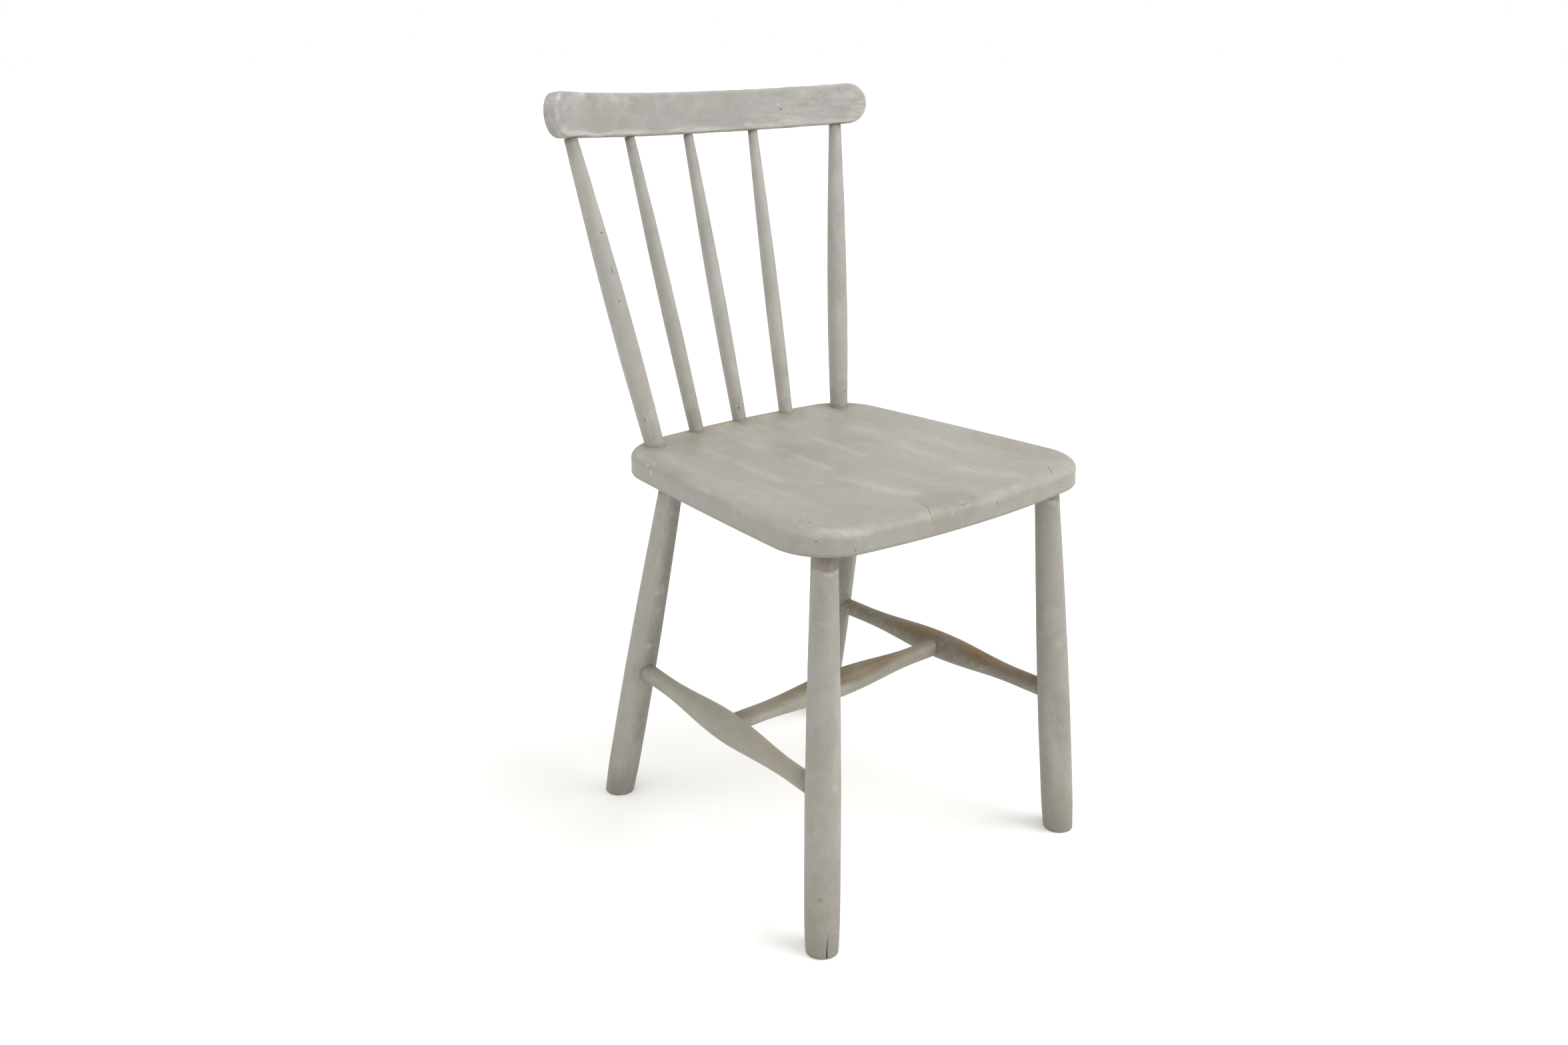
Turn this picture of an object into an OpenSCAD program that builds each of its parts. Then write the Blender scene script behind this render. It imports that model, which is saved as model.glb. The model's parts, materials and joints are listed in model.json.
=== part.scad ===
// Spindle-back side chair: a dished plank seat on four splayed turned legs, braced by an H of
// three turned stretchers. Two stout posts and three thinner spindles carry a bent crest rail.
// Every joint is a round end glued into a blind round socket.
//
// The floor is z = 0 and the chair faces -Y. Left and right are those of someone who stands in
// front of the chair and looks at it, so left is -X.

/* [Seat] */
// Height of the underside of the seat above the floor
seat_underside = 408; // [380:1:450]
// Thickness of the seat at its rim
seat_thickness = 26; // [24:1:36]
// Depth of the seat from its front edge to its back edge
seat_depth = 386; // [320:1:465]
// Width between the side edges, carried on to the line of the front edge
seat_front_width = 393; // [330:1:480]
// Width between the side edges, carried on to the line of the back edge
seat_back_width = 328; // [275:1:385]
// Radius in plan of the bowed front edge
seat_front_bow = 1000; // [600:10:3000]
// Radius in plan of the bowed back edge
seat_back_bow = 1050; // [600:10:3000]
// Radius in plan of the slightly bowed side edges
seat_side_bow = 6000; // [3000:100:9000]
// Radius in plan of the two front corners
seat_front_corner = 60; // [50:1:80]
// Radius in plan of the two back corners
seat_back_corner = 64; // [50:1:80]
// Height of the upright band around the edge, from the underside to where the top rounds over
seat_band = 17; // [8:1:20]
// Width in plan of the rounded top edge
seat_round_width = 15; // [8:1:20]
// Radius of the softened bottom edge
seat_bottom_round = 3; // [1:0.5:5]
// Depth of the shallow dish below the rim
seat_dish = 5; // [2:0.5:8]

/* [Legs] */
// Largest diameter of a leg, low on the shaft
leg_diameter = 35.5; // [30:0.5:44]
// Diameter of a leg at the floor
leg_foot_diameter = 32.5; // [26:0.5:40]
// Diameter of a leg where it enters the seat
leg_top_diameter = 25; // [20:0.5:28]
// Height over which a foot tapers in to the floor
leg_foot_taper = 60; // [30:1:100]
// Height at which a leg starts to thin towards the seat
leg_thinning_height = 130; // [90:1:200]
// Distance of the front legs' tops behind the front edge of the seat
front_leg_setback = 47; // [40:1:80]
// Distance of the front legs' tops inside the side edges of the seat
front_leg_side_inset = 39; // [35:0.5:60]
// Distance of the back legs' tops in front of the back edge of the seat
back_leg_setback = 74; // [66:1:100]
// Distance of the back legs' tops inside the side edges of the seat
back_leg_side_inset = 36; // [35:0.5:60]
// How far a front foot stands out sideways from its top
front_leg_splay = 24; // [0:1:45]
// How far a front foot stands forward of its top
front_leg_rake = 28; // [0:1:60]
// How far a back foot stands out sideways from its top
back_leg_splay = 26; // [0:1:45]
// How far a back foot stands behind its top
back_leg_rake = 94; // [40:1:120]
// Plain length of a leg below the seat, where it no longer thins
leg_plain_top = 5; // [4:1:20]
// Depth of the leg sockets in the seat
leg_socket_depth = 18; // [12:0.5:18]

/* [Stretchers] */
// Height of the side stretchers' axes above the floor, at the front legs
stretcher_front_height = 166.5; // [110:1:240]
// Height of the side stretchers' axes above the floor, at the back legs
stretcher_back_height = 171; // [110:1:240]
// Where the swell and the cross stretcher come on a side stretcher, as a share from its front
cross_share = 0.49; // [0.4:0.01:0.6]
// Diameter of a stretcher at its ends
stretcher_end_diameter = 19.5; // [14:0.5:22]
// Diameter of a stretcher at the middle of its swell
stretcher_diameter = 31.5; // [26:0.5:38]
// Length of the swell from its middle to where the plain end starts
stretcher_swell_reach = 115; // [80:1:130]
// Depth of the side stretchers' sockets in the legs
side_socket_depth = 19; // [12:0.5:20]
// Depth of the cross stretcher's sockets in the side stretchers
cross_socket_depth = 16; // [12:0.5:18]

/* [Back] */
// Height of the middle of the crest rail's underside above the floor
crest_underside = 744; // [680:1:840]
// Angle by which the middle spindle leans back
back_rake = 15.7; // [5:0.1:22]
// Diameter of a post at its thickest
post_diameter = 23.6; // [20:0.1:28]
// Diameter of a post where it enters the seat
post_foot_diameter = 20.8; // [16:0.1:24]
// Diameter of a post just under the crest rail
post_top_diameter = 13.8; // [12:0.1:18]
// Diameter of a spindle at its thickest
spindle_diameter = 17.8; // [15:0.1:22]
// Diameter of a spindle where it enters the seat
spindle_foot_diameter = 16; // [12:0.1:18]
// Diameter of a spindle just under the crest rail
spindle_top_diameter = 10.8; // [10:0.1:14]
// Plain length of a post or spindle above the seat, before it swells
upright_plain_foot = 6; // [6:0.5:15]
// Share of their free length at which posts and spindles are thickest, from the seat
swell_at = 0.33; // [0.2:0.01:0.5]
// Distance of the middle spindle's foot in front of the back edge of the seat
spindle_setback = 16; // [14:0.5:24]
// Radius in plan of the arc on which the five feet stand
spindle_row_radius = 410; // [300:1:900]
// Distance of the posts' feet inside the side edges of the seat
post_side_inset = 33.5; // [30:0.5:50]
// Distance between the feet of the middle spindle and of its neighbours
spindle_foot_spacing = 64; // [45:0.5:75]
// Distance along the crest rail between the middle spindle and its neighbours
spindle_top_spacing = 84.5; // [60:0.5:100]
// Distance along the crest rail from its end to the middle of a post
post_end_inset = 38; // [34:0.5:60]
// Depth of the sockets of posts and spindles in the seat
back_socket_depth = 16; // [10:0.5:18]

/* [Crest rail] */
// Length of the crest rail along its curve
crest_length = 447; // [380:1:500]
// Height of the crest rail
crest_height = 45; // [36:0.5:60]
// Thickness of the crest rail
crest_thickness = 16; // [15:0.1:20]
// Radius in plan of the middle of the crest rail's thickness
crest_radius = 370; // [320:5:600]
// Angle by which the crest rail stands more upright than the middle spindle
crest_set = 8.7; // [4:0.1:9.5]
// Radius of the crest rail's softened edges
crest_edge_round = 3; // [1:0.25:5]
// Diameter of the posts' tenons in the crest rail
post_tenon_diameter = 9; // [7:0.1:10]
// Diameter of the spindles' tenons in the crest rail
spindle_tenon_diameter = 8; // [6:0.1:9]
// Depth of the sockets in the crest rail
crest_socket_depth = 20; // [14:0.5:24]

/* [Fit and wear] */
// Gap all round between a round end and its socket
socket_clearance = 0.1; // [0.05:0.01:0.3]
// Gap between the end of a tenon and the bottom of its socket
socket_end_gap = 0.5; // [0.2:0.1:2]
// Gap between the shoulder of a post or spindle and the crest rail
shoulder_gap = 0.2; // [0.05:0.05:0.5]
// Height of the split in the foot of the front left leg
split_height = 27; // [10:1:60]
// Width of that split at the floor
split_width = 1.4; // [0.5:0.1:3]
// Depth of that split into the leg
split_depth = 11; // [4:0.5:15]
// Direction in plan in which that split faces, counted from the right-hand side
split_heading = -111; // [-180:1:180]

/* [Hidden] */

$fn = 64;
left = -1;
right = 1;
far_cut = 400;            // size of the blocks that trim feet and shoulders
paint_grey = [0.70, 0.68, 0.64];
seat_grey = [0.68, 0.67, 0.63];

// ---- Seat plan, as tangent arcs. The middle of the seat is x = 0, y = 0. ----

seat_front = -seat_depth / 2;
seat_back = seat_depth / 2;
seat_top = seat_underside + seat_thickness;

function lerp(a, b, t) = a + (b - a) * t;
function seat_half_width(y) = lerp(seat_front_width, seat_back_width, (y - seat_front) / seat_depth) / 2;
function heading(v) = atan2(v.y, v.x);

// Points of an arc about c, without its last point, which starts the next arc
function arc(c, r, a, b, n) =
    [for (i = [0 : n - 1]) let (turn = lerp(a, b, i / n)) c + r * [cos(turn), sin(turn)]];

// Where the circles (a, ra) and (b, rb) cross, on the side given
function crossing(a, ra, b, rb, side) =
    let (d = norm(b - a), u = (b - a) / d, along = (ra * ra - rb * rb + d * d) / (2 * d))
    a + along * u + side * sqrt(ra * ra - along * along) * [-u.y, u.x];

// Centre of the right-hand side edge's arc, which bows out through both of its ends
side_a = [seat_front_width / 2, seat_front];
side_b = [seat_back_width / 2, seat_back];
side_span = side_b - side_a;
side_c = (side_a + side_b) / 2 + [-side_span.y, side_span.x] / norm(side_span)
    * sqrt(pow(seat_side_bow, 2) - pow(norm(side_span) / 2, 2));
front_c = [0, seat_front + seat_front_bow];
back_c = [0, seat_back - seat_back_bow];
front_corner_c = crossing(front_c, seat_front_bow - seat_front_corner,
    side_c, seat_side_bow - seat_front_corner, 1);
back_corner_c = crossing(side_c, seat_side_bow - seat_back_corner,
    back_c, seat_back_bow - seat_back_corner, 1);

// Directions in which the arcs hand over to each other
front_turn = heading(front_corner_c - front_c);
side_start = heading(front_corner_c - side_c);
side_end = heading(back_corner_c - side_c);
back_turn = heading(back_corner_c - back_c);

edge_steps = 6;           // points along each shallow edge of half the seat
corner_steps = 10;        // points around each corner
function seat_half(inset) = concat(
    arc(front_c, seat_front_bow - inset, -90, front_turn, edge_steps),
    arc(front_corner_c, seat_front_corner - inset, front_turn, side_start, corner_steps),
    arc(side_c, seat_side_bow - inset, side_start, side_end, edge_steps),
    arc(back_corner_c, seat_back_corner - inset, side_end, back_turn, corner_steps),
    arc(back_c, seat_back_bow - inset, back_turn, 90, edge_steps),
    [[0, seat_back - inset]]);
function seat_outline(inset) =
    let (half = seat_half(inset), last = len(half) - 1)
    concat(half, [for (i = [last - 1 : -1 : 1]) [-half[i].x, half[i].y]]);

// ---- Seat section, as rings of [inset, height, scale about the middle] ----

bottom_steps = 2;
round_steps = 5;
dish_steps = 4;
rim_flat = 4;                             // width of the level rim inside the rounded edge
rim_inset = seat_round_width + rim_flat;
dish_reach = 85;                          // distance in from the edge at which the dish is full
follow_share = 0.8;                       // share of a corner's radius over which rings stay parallel
follow_inset = seat_front_corner * follow_share;
inner_scales = [0.86, 0.72, 0.58];        // sizes of the rings inside those, which only shrink
function dish_drop(inset) =
    seat_dish * (1 - cos(180 * min(1, max(0, inset - rim_inset) / (dish_reach - rim_inset)))) / 2;
seat_rings = concat(
    [for (i = [0 : bottom_steps]) let (a = 90 * i / bottom_steps)
        [seat_bottom_round * (1 - sin(a)), seat_bottom_round * (1 - cos(a)), 1]],
    [for (i = [0 : round_steps]) let (a = 90 * i / round_steps)
        [seat_round_width * (1 - cos(a)), seat_band + (seat_thickness - seat_band) * sin(a), 1]],
    [for (i = [0 : dish_steps]) let (inset = lerp(rim_inset, follow_inset, i / dish_steps))
        [inset, seat_thickness - dish_drop(inset), 1]],
    [for (s = inner_scales)
        [follow_inset, seat_thickness - dish_drop(follow_inset + (1 - s) * seat_back), s]]);

module seat_blank() {
    count = len(seat_outline(0));
    rings = len(seat_rings);
    points = [for (r = seat_rings, p = seat_outline(r[0])) [p.x * r[2], p.y * r[2], seat_underside + r[1]]];
    sides = [for (r = [0 : rings - 2], i = [0 : count - 1]) let (j = (i + 1) % count)
        [r * count + i, (r + 1) * count + i, (r + 1) * count + j, r * count + j]];
    bottom = [for (i = [0 : count - 1]) i];
    top = [for (i = [count - 1 : -1 : 0]) (rings - 1) * count + i];
    polyhedron(points, concat(sides, [bottom, top]), convexity = 4);
}

// ---- Axes of the legs and stretchers, each worked out from the seat ----

front_leg_y = seat_front + front_leg_setback;
back_leg_y = seat_back - back_leg_setback;
front_leg_x = seat_half_width(front_leg_y) - front_leg_side_inset;
back_leg_x = seat_half_width(back_leg_y) - back_leg_side_inset;
function front_leg(side) = [
    [side * (front_leg_x + front_leg_splay), front_leg_y - front_leg_rake, 0],
    [side * front_leg_x, front_leg_y, seat_underside]];
function back_leg(side) = [
    [side * (back_leg_x + back_leg_splay), back_leg_y + back_leg_rake, 0],
    [side * back_leg_x, back_leg_y, seat_underside]];
function at_height(axis, z) = lerp(axis[0], axis[1], z / seat_underside);
function unit(v) = v / norm(v);

function side_stretcher(side) = [
    at_height(front_leg(side), stretcher_front_height),
    at_height(back_leg(side), stretcher_back_height)];
function joint(axis) = lerp(axis[0], axis[1], cross_share);
function reversed(axis) = [axis[1], axis[0]];
cross_axis = [joint(side_stretcher(left)), joint(side_stretcher(right))];
// Distance from a side stretcher's axis to the bottom of its socket for the cross stretcher
cross_start = stretcher_diameter / 2 - cross_socket_depth;

// ---- Axes of the posts and spindles, from the seat to the crest rail's underside ----

crest_lean = back_rake - crest_set;
spindle_row_y = seat_back - spindle_setback;
function row_y(x) = spindle_row_y - spindle_row_radius + sqrt(pow(spindle_row_radius, 2) - x * x);
post_foot_x = seat_half_width(spindle_row_y) - post_side_inset;
crest_middle = [0, spindle_row_y + (crest_underside - seat_top) * tan(back_rake), crest_underside];

// A point on the crest rail: s along the curve from its middle, h up from its underside
function crest_point(s, h) =
    let (a = s / crest_radius * 180 / PI, forward = crest_radius * (1 - cos(a)))
    crest_middle + [crest_radius * sin(a),
        h * sin(crest_lean) - forward * cos(crest_lean),
        h * cos(crest_lean) + forward * sin(crest_lean)];

post_top_s = crest_length / 2 - post_end_inset;
function post(side) = [
    [side * post_foot_x, row_y(post_foot_x), seat_top], crest_point(side * post_top_s, 0)];
function spindle(place) = [
    [place * spindle_foot_spacing, row_y(place * spindle_foot_spacing), seat_top],
    crest_point(place * spindle_top_spacing, 0)];

// ---- Placing ----

// The chair stands with the middle of its depth over the origin, half way between the front edge
// of the seat and the back of the crest rail
crest_rear = crest_middle.y + (crest_height - crest_edge_round) * sin(crest_lean)
    + (crest_thickness / 2 - crest_edge_round) * cos(crest_lean) + crest_edge_round;
middle_y = (seat_front + crest_rear) / 2;
module place() {
    translate([0, -middle_y, 0]) children();
}

// Stands children, drawn up their own z, on the line from one point to another. They are turned
// about that line, so that the edge where a round surface closes on itself meets no other edge.
seam_turn = 30;
module along(axis) {
    d = axis[1] - axis[0];
    translate(axis[0]) rotate([0, acos(d.z / norm(d)), heading(d)]) rotate([0, 0, seam_turn])
        children();
}

// A hole that takes a round end: it starts outside the face and goes depth past it
module socket(axis, start, end, diameter) {
    d = unit(axis[1] - axis[0]);
    along([axis[0] + d * start, axis[0] + d * end])
        cylinder(h = end - start, d = diameter + 2 * socket_clearance);
}

// ---- Turned shapes, each a list of [radius, height] turned about its axis ----

module turned(profile) {
    last = len(profile) - 1;
    rotate_extrude() polygon(concat([[0, profile[0][1]]], profile, [[0, profile[last][1]]]));
}

leg_foot_steps = 6;
leg_shaft_steps = 12;
leg_spare = 25;           // length below the floor, trimmed off level with it
leg_thinning = 1.5;       // above 1, so that a leg thins slowly at first
function leg_length(axis) = norm(axis[1] - axis[0]);
function leg_foot_radius(h) =
    (leg_diameter - (leg_diameter - leg_foot_diameter) * pow(1 - h / leg_foot_taper, 2)) / 2;
function leg_shaft_radius(h, length) =
    let (t = max(0, h - leg_thinning_height) / (length - leg_plain_top - leg_thinning_height))
    (leg_diameter - (leg_diameter - leg_top_diameter) * pow(t, leg_thinning)) / 2;
function leg_profile(length) = concat(
    [[leg_foot_diameter / 2, -leg_spare]],
    [for (i = [0 : leg_foot_steps]) let (h = leg_foot_taper * i / leg_foot_steps)
        [leg_foot_radius(h), h]],
    [for (i = [0 : leg_shaft_steps])
        let (h = lerp(leg_thinning_height, length - leg_plain_top, i / leg_shaft_steps))
        [leg_shaft_radius(h, length), h]],
    [[leg_top_diameter / 2, length + leg_socket_depth - socket_end_gap]]);

// Distance from a leg's axis to the bottom of its stretcher socket
function socket_bottom(axis, height) =
    leg_shaft_radius(height, leg_length(axis)) - side_socket_depth;

// A leg, trimmed level with the floor, with the socket of its side stretcher
module leg(axis, stretcher_axis) {
    difference() {
        along(axis) turned(leg_profile(leg_length(axis)));
        translate([axis[0].x - far_cut / 2, axis[0].y - far_cut / 2, -far_cut]) cube(far_cut);
        socket(stretcher_axis, socket_bottom(axis, stretcher_axis[0].z), leg_diameter,
            stretcher_end_diameter);
    }
}

// A split that opens downwards, running into a foot from its outside
module foot_split(foot) {
    translate(foot) rotate([90, 0, split_heading + 90])
        translate([0, 0, leg_foot_diameter / 2 - split_depth])
        linear_extrude(height = leg_foot_diameter)
        polygon([[-split_width / 2, 0], [split_width / 2, 0], [0, split_height]]);
}

swell_steps = 9;
// Radius of a stretcher at distance u from the middle of its swell
function stretcher_radius(u) = let (w = cos(90 * min(1, abs(u) / stretcher_swell_reach)))
    (stretcher_end_diameter + (stretcher_diameter - stretcher_end_diameter) * w * w) / 2;

// A stretcher between two points on its axis, thickest at a share of the way along it. Its ends
// stop at the distances first and last from those points.
module stretcher(axis, share, first, last) {
    length = norm(axis[1] - axis[0]);
    along(axis) turned(concat(
        [[stretcher_end_diameter / 2, first]],
        [for (i = [-swell_steps : swell_steps]) let (u = stretcher_swell_reach * i / swell_steps)
            [stretcher_radius(u), length * share + u]],
        [[stretcher_end_diameter / 2, length - last]]));
}

upright_steps = 7;
upright_swelling = 2;     // powers that curve an upright below and above its thickest place
upright_thinning = 1.8;
// Profile of a post or spindle of a free length, with its foot, greatest and top diameters
function upright_profile(length, foot, greatest, top) = concat(
    [[foot / 2, socket_end_gap - back_socket_depth]],
    [for (i = [0 : upright_steps]) let (t = i / upright_steps)
        [(greatest - (greatest - foot) * pow(1 - t, upright_swelling)) / 2,
            lerp(upright_plain_foot, length * swell_at, t)]],
    [for (i = [1 : upright_steps]) let (t = i / upright_steps)
        [(greatest - (greatest - top) * pow(t, upright_thinning)) / 2,
            length * lerp(swell_at, 1, t)]],
    [[top / 2, length + top]]);

// A post or spindle, its shoulder cut to the slope of the crest rail's underside
module upright(axis, foot, greatest, top, tenon) {
    length = norm(axis[1] - axis[0]);
    difference() {
        along(axis) turned(upright_profile(length, foot, greatest, top));
        at_crest() translate([-crest_length / 2, -far_cut / 2, -shoulder_gap])
            cube([crest_length, far_cut, far_cut]);
    }
    along(axis) translate([0, 0, length - top])
        cylinder(h = top + crest_socket_depth - socket_end_gap, d = tenon);
}

// ---- Crest rail, drawn with its underside's middle at the origin and its height along z ----

module at_crest() {
    translate(crest_middle) rotate([-crest_lean, 0, 0]) children();
}

corner_turns = 4;
// A softened corner of a section, about the centre c, from direction a
function soft_corner(c, a) = [for (i = [0 : corner_turns]) let (b = a + 90 * i / corner_turns)
    c + crest_edge_round * [cos(b), sin(b)]];

crest_inner = crest_radius - crest_thickness / 2;
crest_outer = crest_radius + crest_thickness / 2;
crest_section = concat(
    soft_corner([crest_outer - crest_edge_round, crest_height - crest_edge_round], 0),
    soft_corner([crest_inner + crest_edge_round, crest_height - crest_edge_round], 90),
    soft_corner([crest_inner + crest_edge_round, crest_edge_round], 180),
    soft_corner([crest_outer - crest_edge_round, crest_edge_round], 270));

// Half a section of a round end, from its centre out to its rim. It lies a hair inside the rail's
// own section, so that the two never share a curved face.
end_step = 0.02;
end_radius = crest_height / 2;
end_flat = crest_thickness / 2 - end_step;
end_rim = end_radius - end_step - crest_edge_round;
end_section = concat(
    [[0, -end_flat]],
    soft_corner([end_rim, crest_edge_round - end_flat], 270),
    soft_corner([end_rim, end_flat - crest_edge_round], 0),
    [[0, end_flat]]);

// Half the angle spanned by the rail between the centres of its round ends
crest_half_angle = (crest_length / 2 - end_radius) / crest_radius * 180 / PI;

crest_facets = 360;       // of a full turn, so that the shallow bend stays smooth
module crest_blank() {
    translate([0, -crest_radius, 0]) {
        rotate([0, 0, 90 - crest_half_angle])
            rotate_extrude(angle = 2 * crest_half_angle, $fn = crest_facets) polygon(crest_section);
        crest_end();
        mirror([1, 0, 0]) crest_end();
    }
}

// The round end on the right
module crest_end() {
    rotate([0, 0, -crest_half_angle]) translate([0, crest_radius, end_radius]) rotate([-90, 0, 0])
        rotate([0, 0, -90]) rotate_extrude(angle = 180) polygon(end_section);
}

// ---- Sockets ----

module leg_socket(axis) {
    length = leg_length(axis);
    socket(axis, length - leg_top_diameter, length + leg_socket_depth, leg_top_diameter);
}

module foot_socket(axis, diameter) {
    socket(axis, -back_socket_depth, diameter, diameter);
}

module crest_socket(axis, diameter) {
    length = norm(axis[1] - axis[0]);
    socket(axis, length - diameter, length + crest_socket_depth, diameter);
}

// ---- Pieces ----

module seat() {
    color(seat_grey) place() difference() {
        seat_blank();
        for (side = [left, right]) {
            leg_socket(front_leg(side));
            leg_socket(back_leg(side));
            foot_socket(post(side), post_foot_diameter);
        }
        for (position = [-1 : 1])
            foot_socket(spindle(position), spindle_foot_diameter);
    }
}

module crest_rail() {
    color(paint_grey) place() difference() {
        at_crest() crest_blank();
        for (side = [left, right])
            crest_socket(post(side), post_tenon_diameter);
        for (position = [-1 : 1])
            crest_socket(spindle(position), spindle_tenon_diameter);
    }
}

module back_post(side) {
    color(paint_grey) place()
        upright(post(side), post_foot_diameter, post_diameter, post_top_diameter, post_tenon_diameter);
}

module back_spindle(position) {
    color(paint_grey) place() upright(spindle(position),
        spindle_foot_diameter, spindle_diameter, spindle_top_diameter, spindle_tenon_diameter);
}

module post_left() { back_post(left); }
module post_right() { back_post(right); }
module spindle_left() { back_spindle(-1); }
module spindle_middle() { back_spindle(0); }
module spindle_right() { back_spindle(1); }

module leg_front_left() {
    color(paint_grey) place() difference() {
        leg(front_leg(left), side_stretcher(left));
        foot_split(front_leg(left)[0]);
    }
}

module leg_front_right() {
    color(paint_grey) place() leg(front_leg(right), side_stretcher(right));
}

module leg_back_left() {
    color(paint_grey) place() leg(back_leg(left), reversed(side_stretcher(left)));
}

module leg_back_right() {
    color(paint_grey) place() leg(back_leg(right), reversed(side_stretcher(right)));
}

// A side stretcher, with the socket of the cross stretcher
module side_rail(side) {
    color(paint_grey) place() difference() {
        stretcher(side_stretcher(side), cross_share,
            socket_bottom(front_leg(side), stretcher_front_height) + socket_end_gap,
            socket_bottom(back_leg(side), stretcher_back_height) + socket_end_gap);
        socket(side == left ? cross_axis : reversed(cross_axis), cross_start,
            stretcher_diameter, stretcher_end_diameter);
    }
}

module stretcher_left() { side_rail(left); }
module stretcher_right() { side_rail(right); }
module stretcher_cross() {
    color(paint_grey) place()
        stretcher(cross_axis, 0.5, cross_start + socket_end_gap, cross_start + socket_end_gap);
}

seat();
crest_rail();
post_left();
post_right();
spindle_left();
spindle_middle();
spindle_right();
leg_front_left();
leg_front_right();
leg_back_left();
leg_back_right();
stretcher_left();
stretcher_right();
stretcher_cross();
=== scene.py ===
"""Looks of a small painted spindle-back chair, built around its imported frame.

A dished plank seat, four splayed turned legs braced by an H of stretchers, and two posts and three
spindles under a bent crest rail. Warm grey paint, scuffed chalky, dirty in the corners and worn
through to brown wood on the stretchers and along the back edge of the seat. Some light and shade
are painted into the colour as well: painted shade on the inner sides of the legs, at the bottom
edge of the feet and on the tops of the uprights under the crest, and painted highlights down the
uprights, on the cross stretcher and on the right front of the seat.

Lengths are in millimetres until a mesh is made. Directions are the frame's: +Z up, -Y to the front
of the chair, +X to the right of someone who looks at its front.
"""
import json
from functools import reduce
from math import atan2, cos, pi, radians, sin, sqrt, tan

import bpy
import numpy as np
from mathutils import Matrix, Vector
from mathutils.bvhtree import BVHTree
from numpy.linalg import norm


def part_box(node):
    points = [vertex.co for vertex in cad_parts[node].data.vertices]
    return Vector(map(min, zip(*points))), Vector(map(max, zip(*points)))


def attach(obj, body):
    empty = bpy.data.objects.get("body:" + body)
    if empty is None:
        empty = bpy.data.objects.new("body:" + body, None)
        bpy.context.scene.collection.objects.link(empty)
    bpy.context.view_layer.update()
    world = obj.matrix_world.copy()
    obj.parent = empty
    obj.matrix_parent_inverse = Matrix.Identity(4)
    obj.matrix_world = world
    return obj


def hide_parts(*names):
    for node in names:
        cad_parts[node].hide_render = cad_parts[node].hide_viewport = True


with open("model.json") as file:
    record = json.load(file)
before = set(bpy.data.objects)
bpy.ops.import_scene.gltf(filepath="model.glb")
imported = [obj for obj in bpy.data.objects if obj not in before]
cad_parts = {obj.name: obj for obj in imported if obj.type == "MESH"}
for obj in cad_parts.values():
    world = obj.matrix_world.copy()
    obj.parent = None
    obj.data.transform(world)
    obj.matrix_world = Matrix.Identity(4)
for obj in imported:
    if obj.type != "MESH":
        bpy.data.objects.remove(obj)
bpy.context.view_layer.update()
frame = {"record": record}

MM = 0.001
X = np.array([1.0, 0.0, 0.0])
Z = np.array([0.0, 0.0, 1.0])


# ---- Small helpers ----

def unit(v):
    return v / norm(v)


def unit_rows(rows):
    return rows / np.maximum(norm(rows, axis=1, keepdims=True), 1e-9)


def step(x, low, high):
    """0 at low and 1 at high, with a soft step between them; low may be the greater."""
    t = np.clip((x - low) / (high - low), 0, 1)
    return t * t * (3 - 2 * t)


def hump(x, middle, reach):
    """1 at the middle, falling softly to 0 at reach away from it."""
    return step(np.abs(x - middle), reach, 0)


WAVES = 24


def wobble(points, size, seed):
    """Smooth random field between -1.5 and 1.5, with lumps about size across."""
    random = np.random.default_rng(seed)
    waves = random.normal(size=(WAVES, 3))
    waves /= norm(waves, axis=1, keepdims=True)
    waves *= random.uniform(0.6, 1.4, (WAVES, 1)) * pi / size
    phases = random.uniform(0, 2 * pi, WAVES)
    return np.clip(np.cos(points @ waves.T + phases).sum(axis=1) / sqrt(WAVES / 2), -1.5, 1.5)


def most(*masks):
    """The greatest of several masks at each point."""
    return reduce(np.maximum, masks)


def all_round(count):
    """Headings in equal steps all round an axis."""
    return np.linspace(0, 2 * pi, count, endpoint=False)


def path_distance(points, path):
    """Distance of each point from the line through the points of path."""
    nearest = np.full(len(points), np.inf)
    for a, b in zip(path[:-1], path[1:]):
        span = b - a
        t = np.clip((points - a) @ span / (span @ span), 0, 1)
        nearest = np.minimum(nearest, norm(points - a - t[:, None] * span, axis=1))
    return nearest


def off_axis(points, start, ahead):
    """How far points lie along an axis from its start, and how far away from the axis."""
    arm = points - start
    along = arm @ ahead
    return along, norm(arm - along[:, None] * ahead, axis=1)


def corners(node):
    """Lowest and highest corner of a CAD node."""
    return [np.array(corner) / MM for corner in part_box(node)]


# ---- Places and sizes of the CAD frame ----

seat_low, seat_high = corners("seat")
UNDERSIDE = seat_low[2]
RIM = seat_high[2]
SEAT_FRONT = seat_low[1]
SEAT_BACK = seat_high[1]
SEAT_Y = (SEAT_FRONT + SEAT_BACK) / 2

SEAT_FRONT_WIDTH = 393
SEAT_BACK_WIDTH = 328
FRONT_BOW = 1000
BACK_BOW = 1050
SIDE_BOW = 6000
FRONT_CORNER = 60
BACK_CORNER = 64
BAND = 17
ROUND_WIDTH = 15
BOTTOM_ROUND = 3
DISH = 5
DISH_START = 19
DISH_REACH = 80

FRONT_LEG_LEAN = (24, 28)
BACK_LEG_LEAN = (26, -94)
LEG_RADIUS = 17.75
LEG_FOOT_RADIUS = 16.25
LEG_TOP_RADIUS = 12.5
LEG_FOOT_TAPER = 60
LEG_THINNING_START = 130
LEG_THINNING = 1.5
LEG_PLAIN_TOP = 5
LEG_SOCKET = 18

STRETCHER_FRONT = 166.5
STRETCHER_BACK = 171
CROSS_SHARE = 0.49
STRETCHER_END_RADIUS = 9.75
STRETCHER_RADIUS = 15.75
SWELL_REACH = 115
SIDE_SOCKET = 19
CROSS_SOCKET = 16

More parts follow.
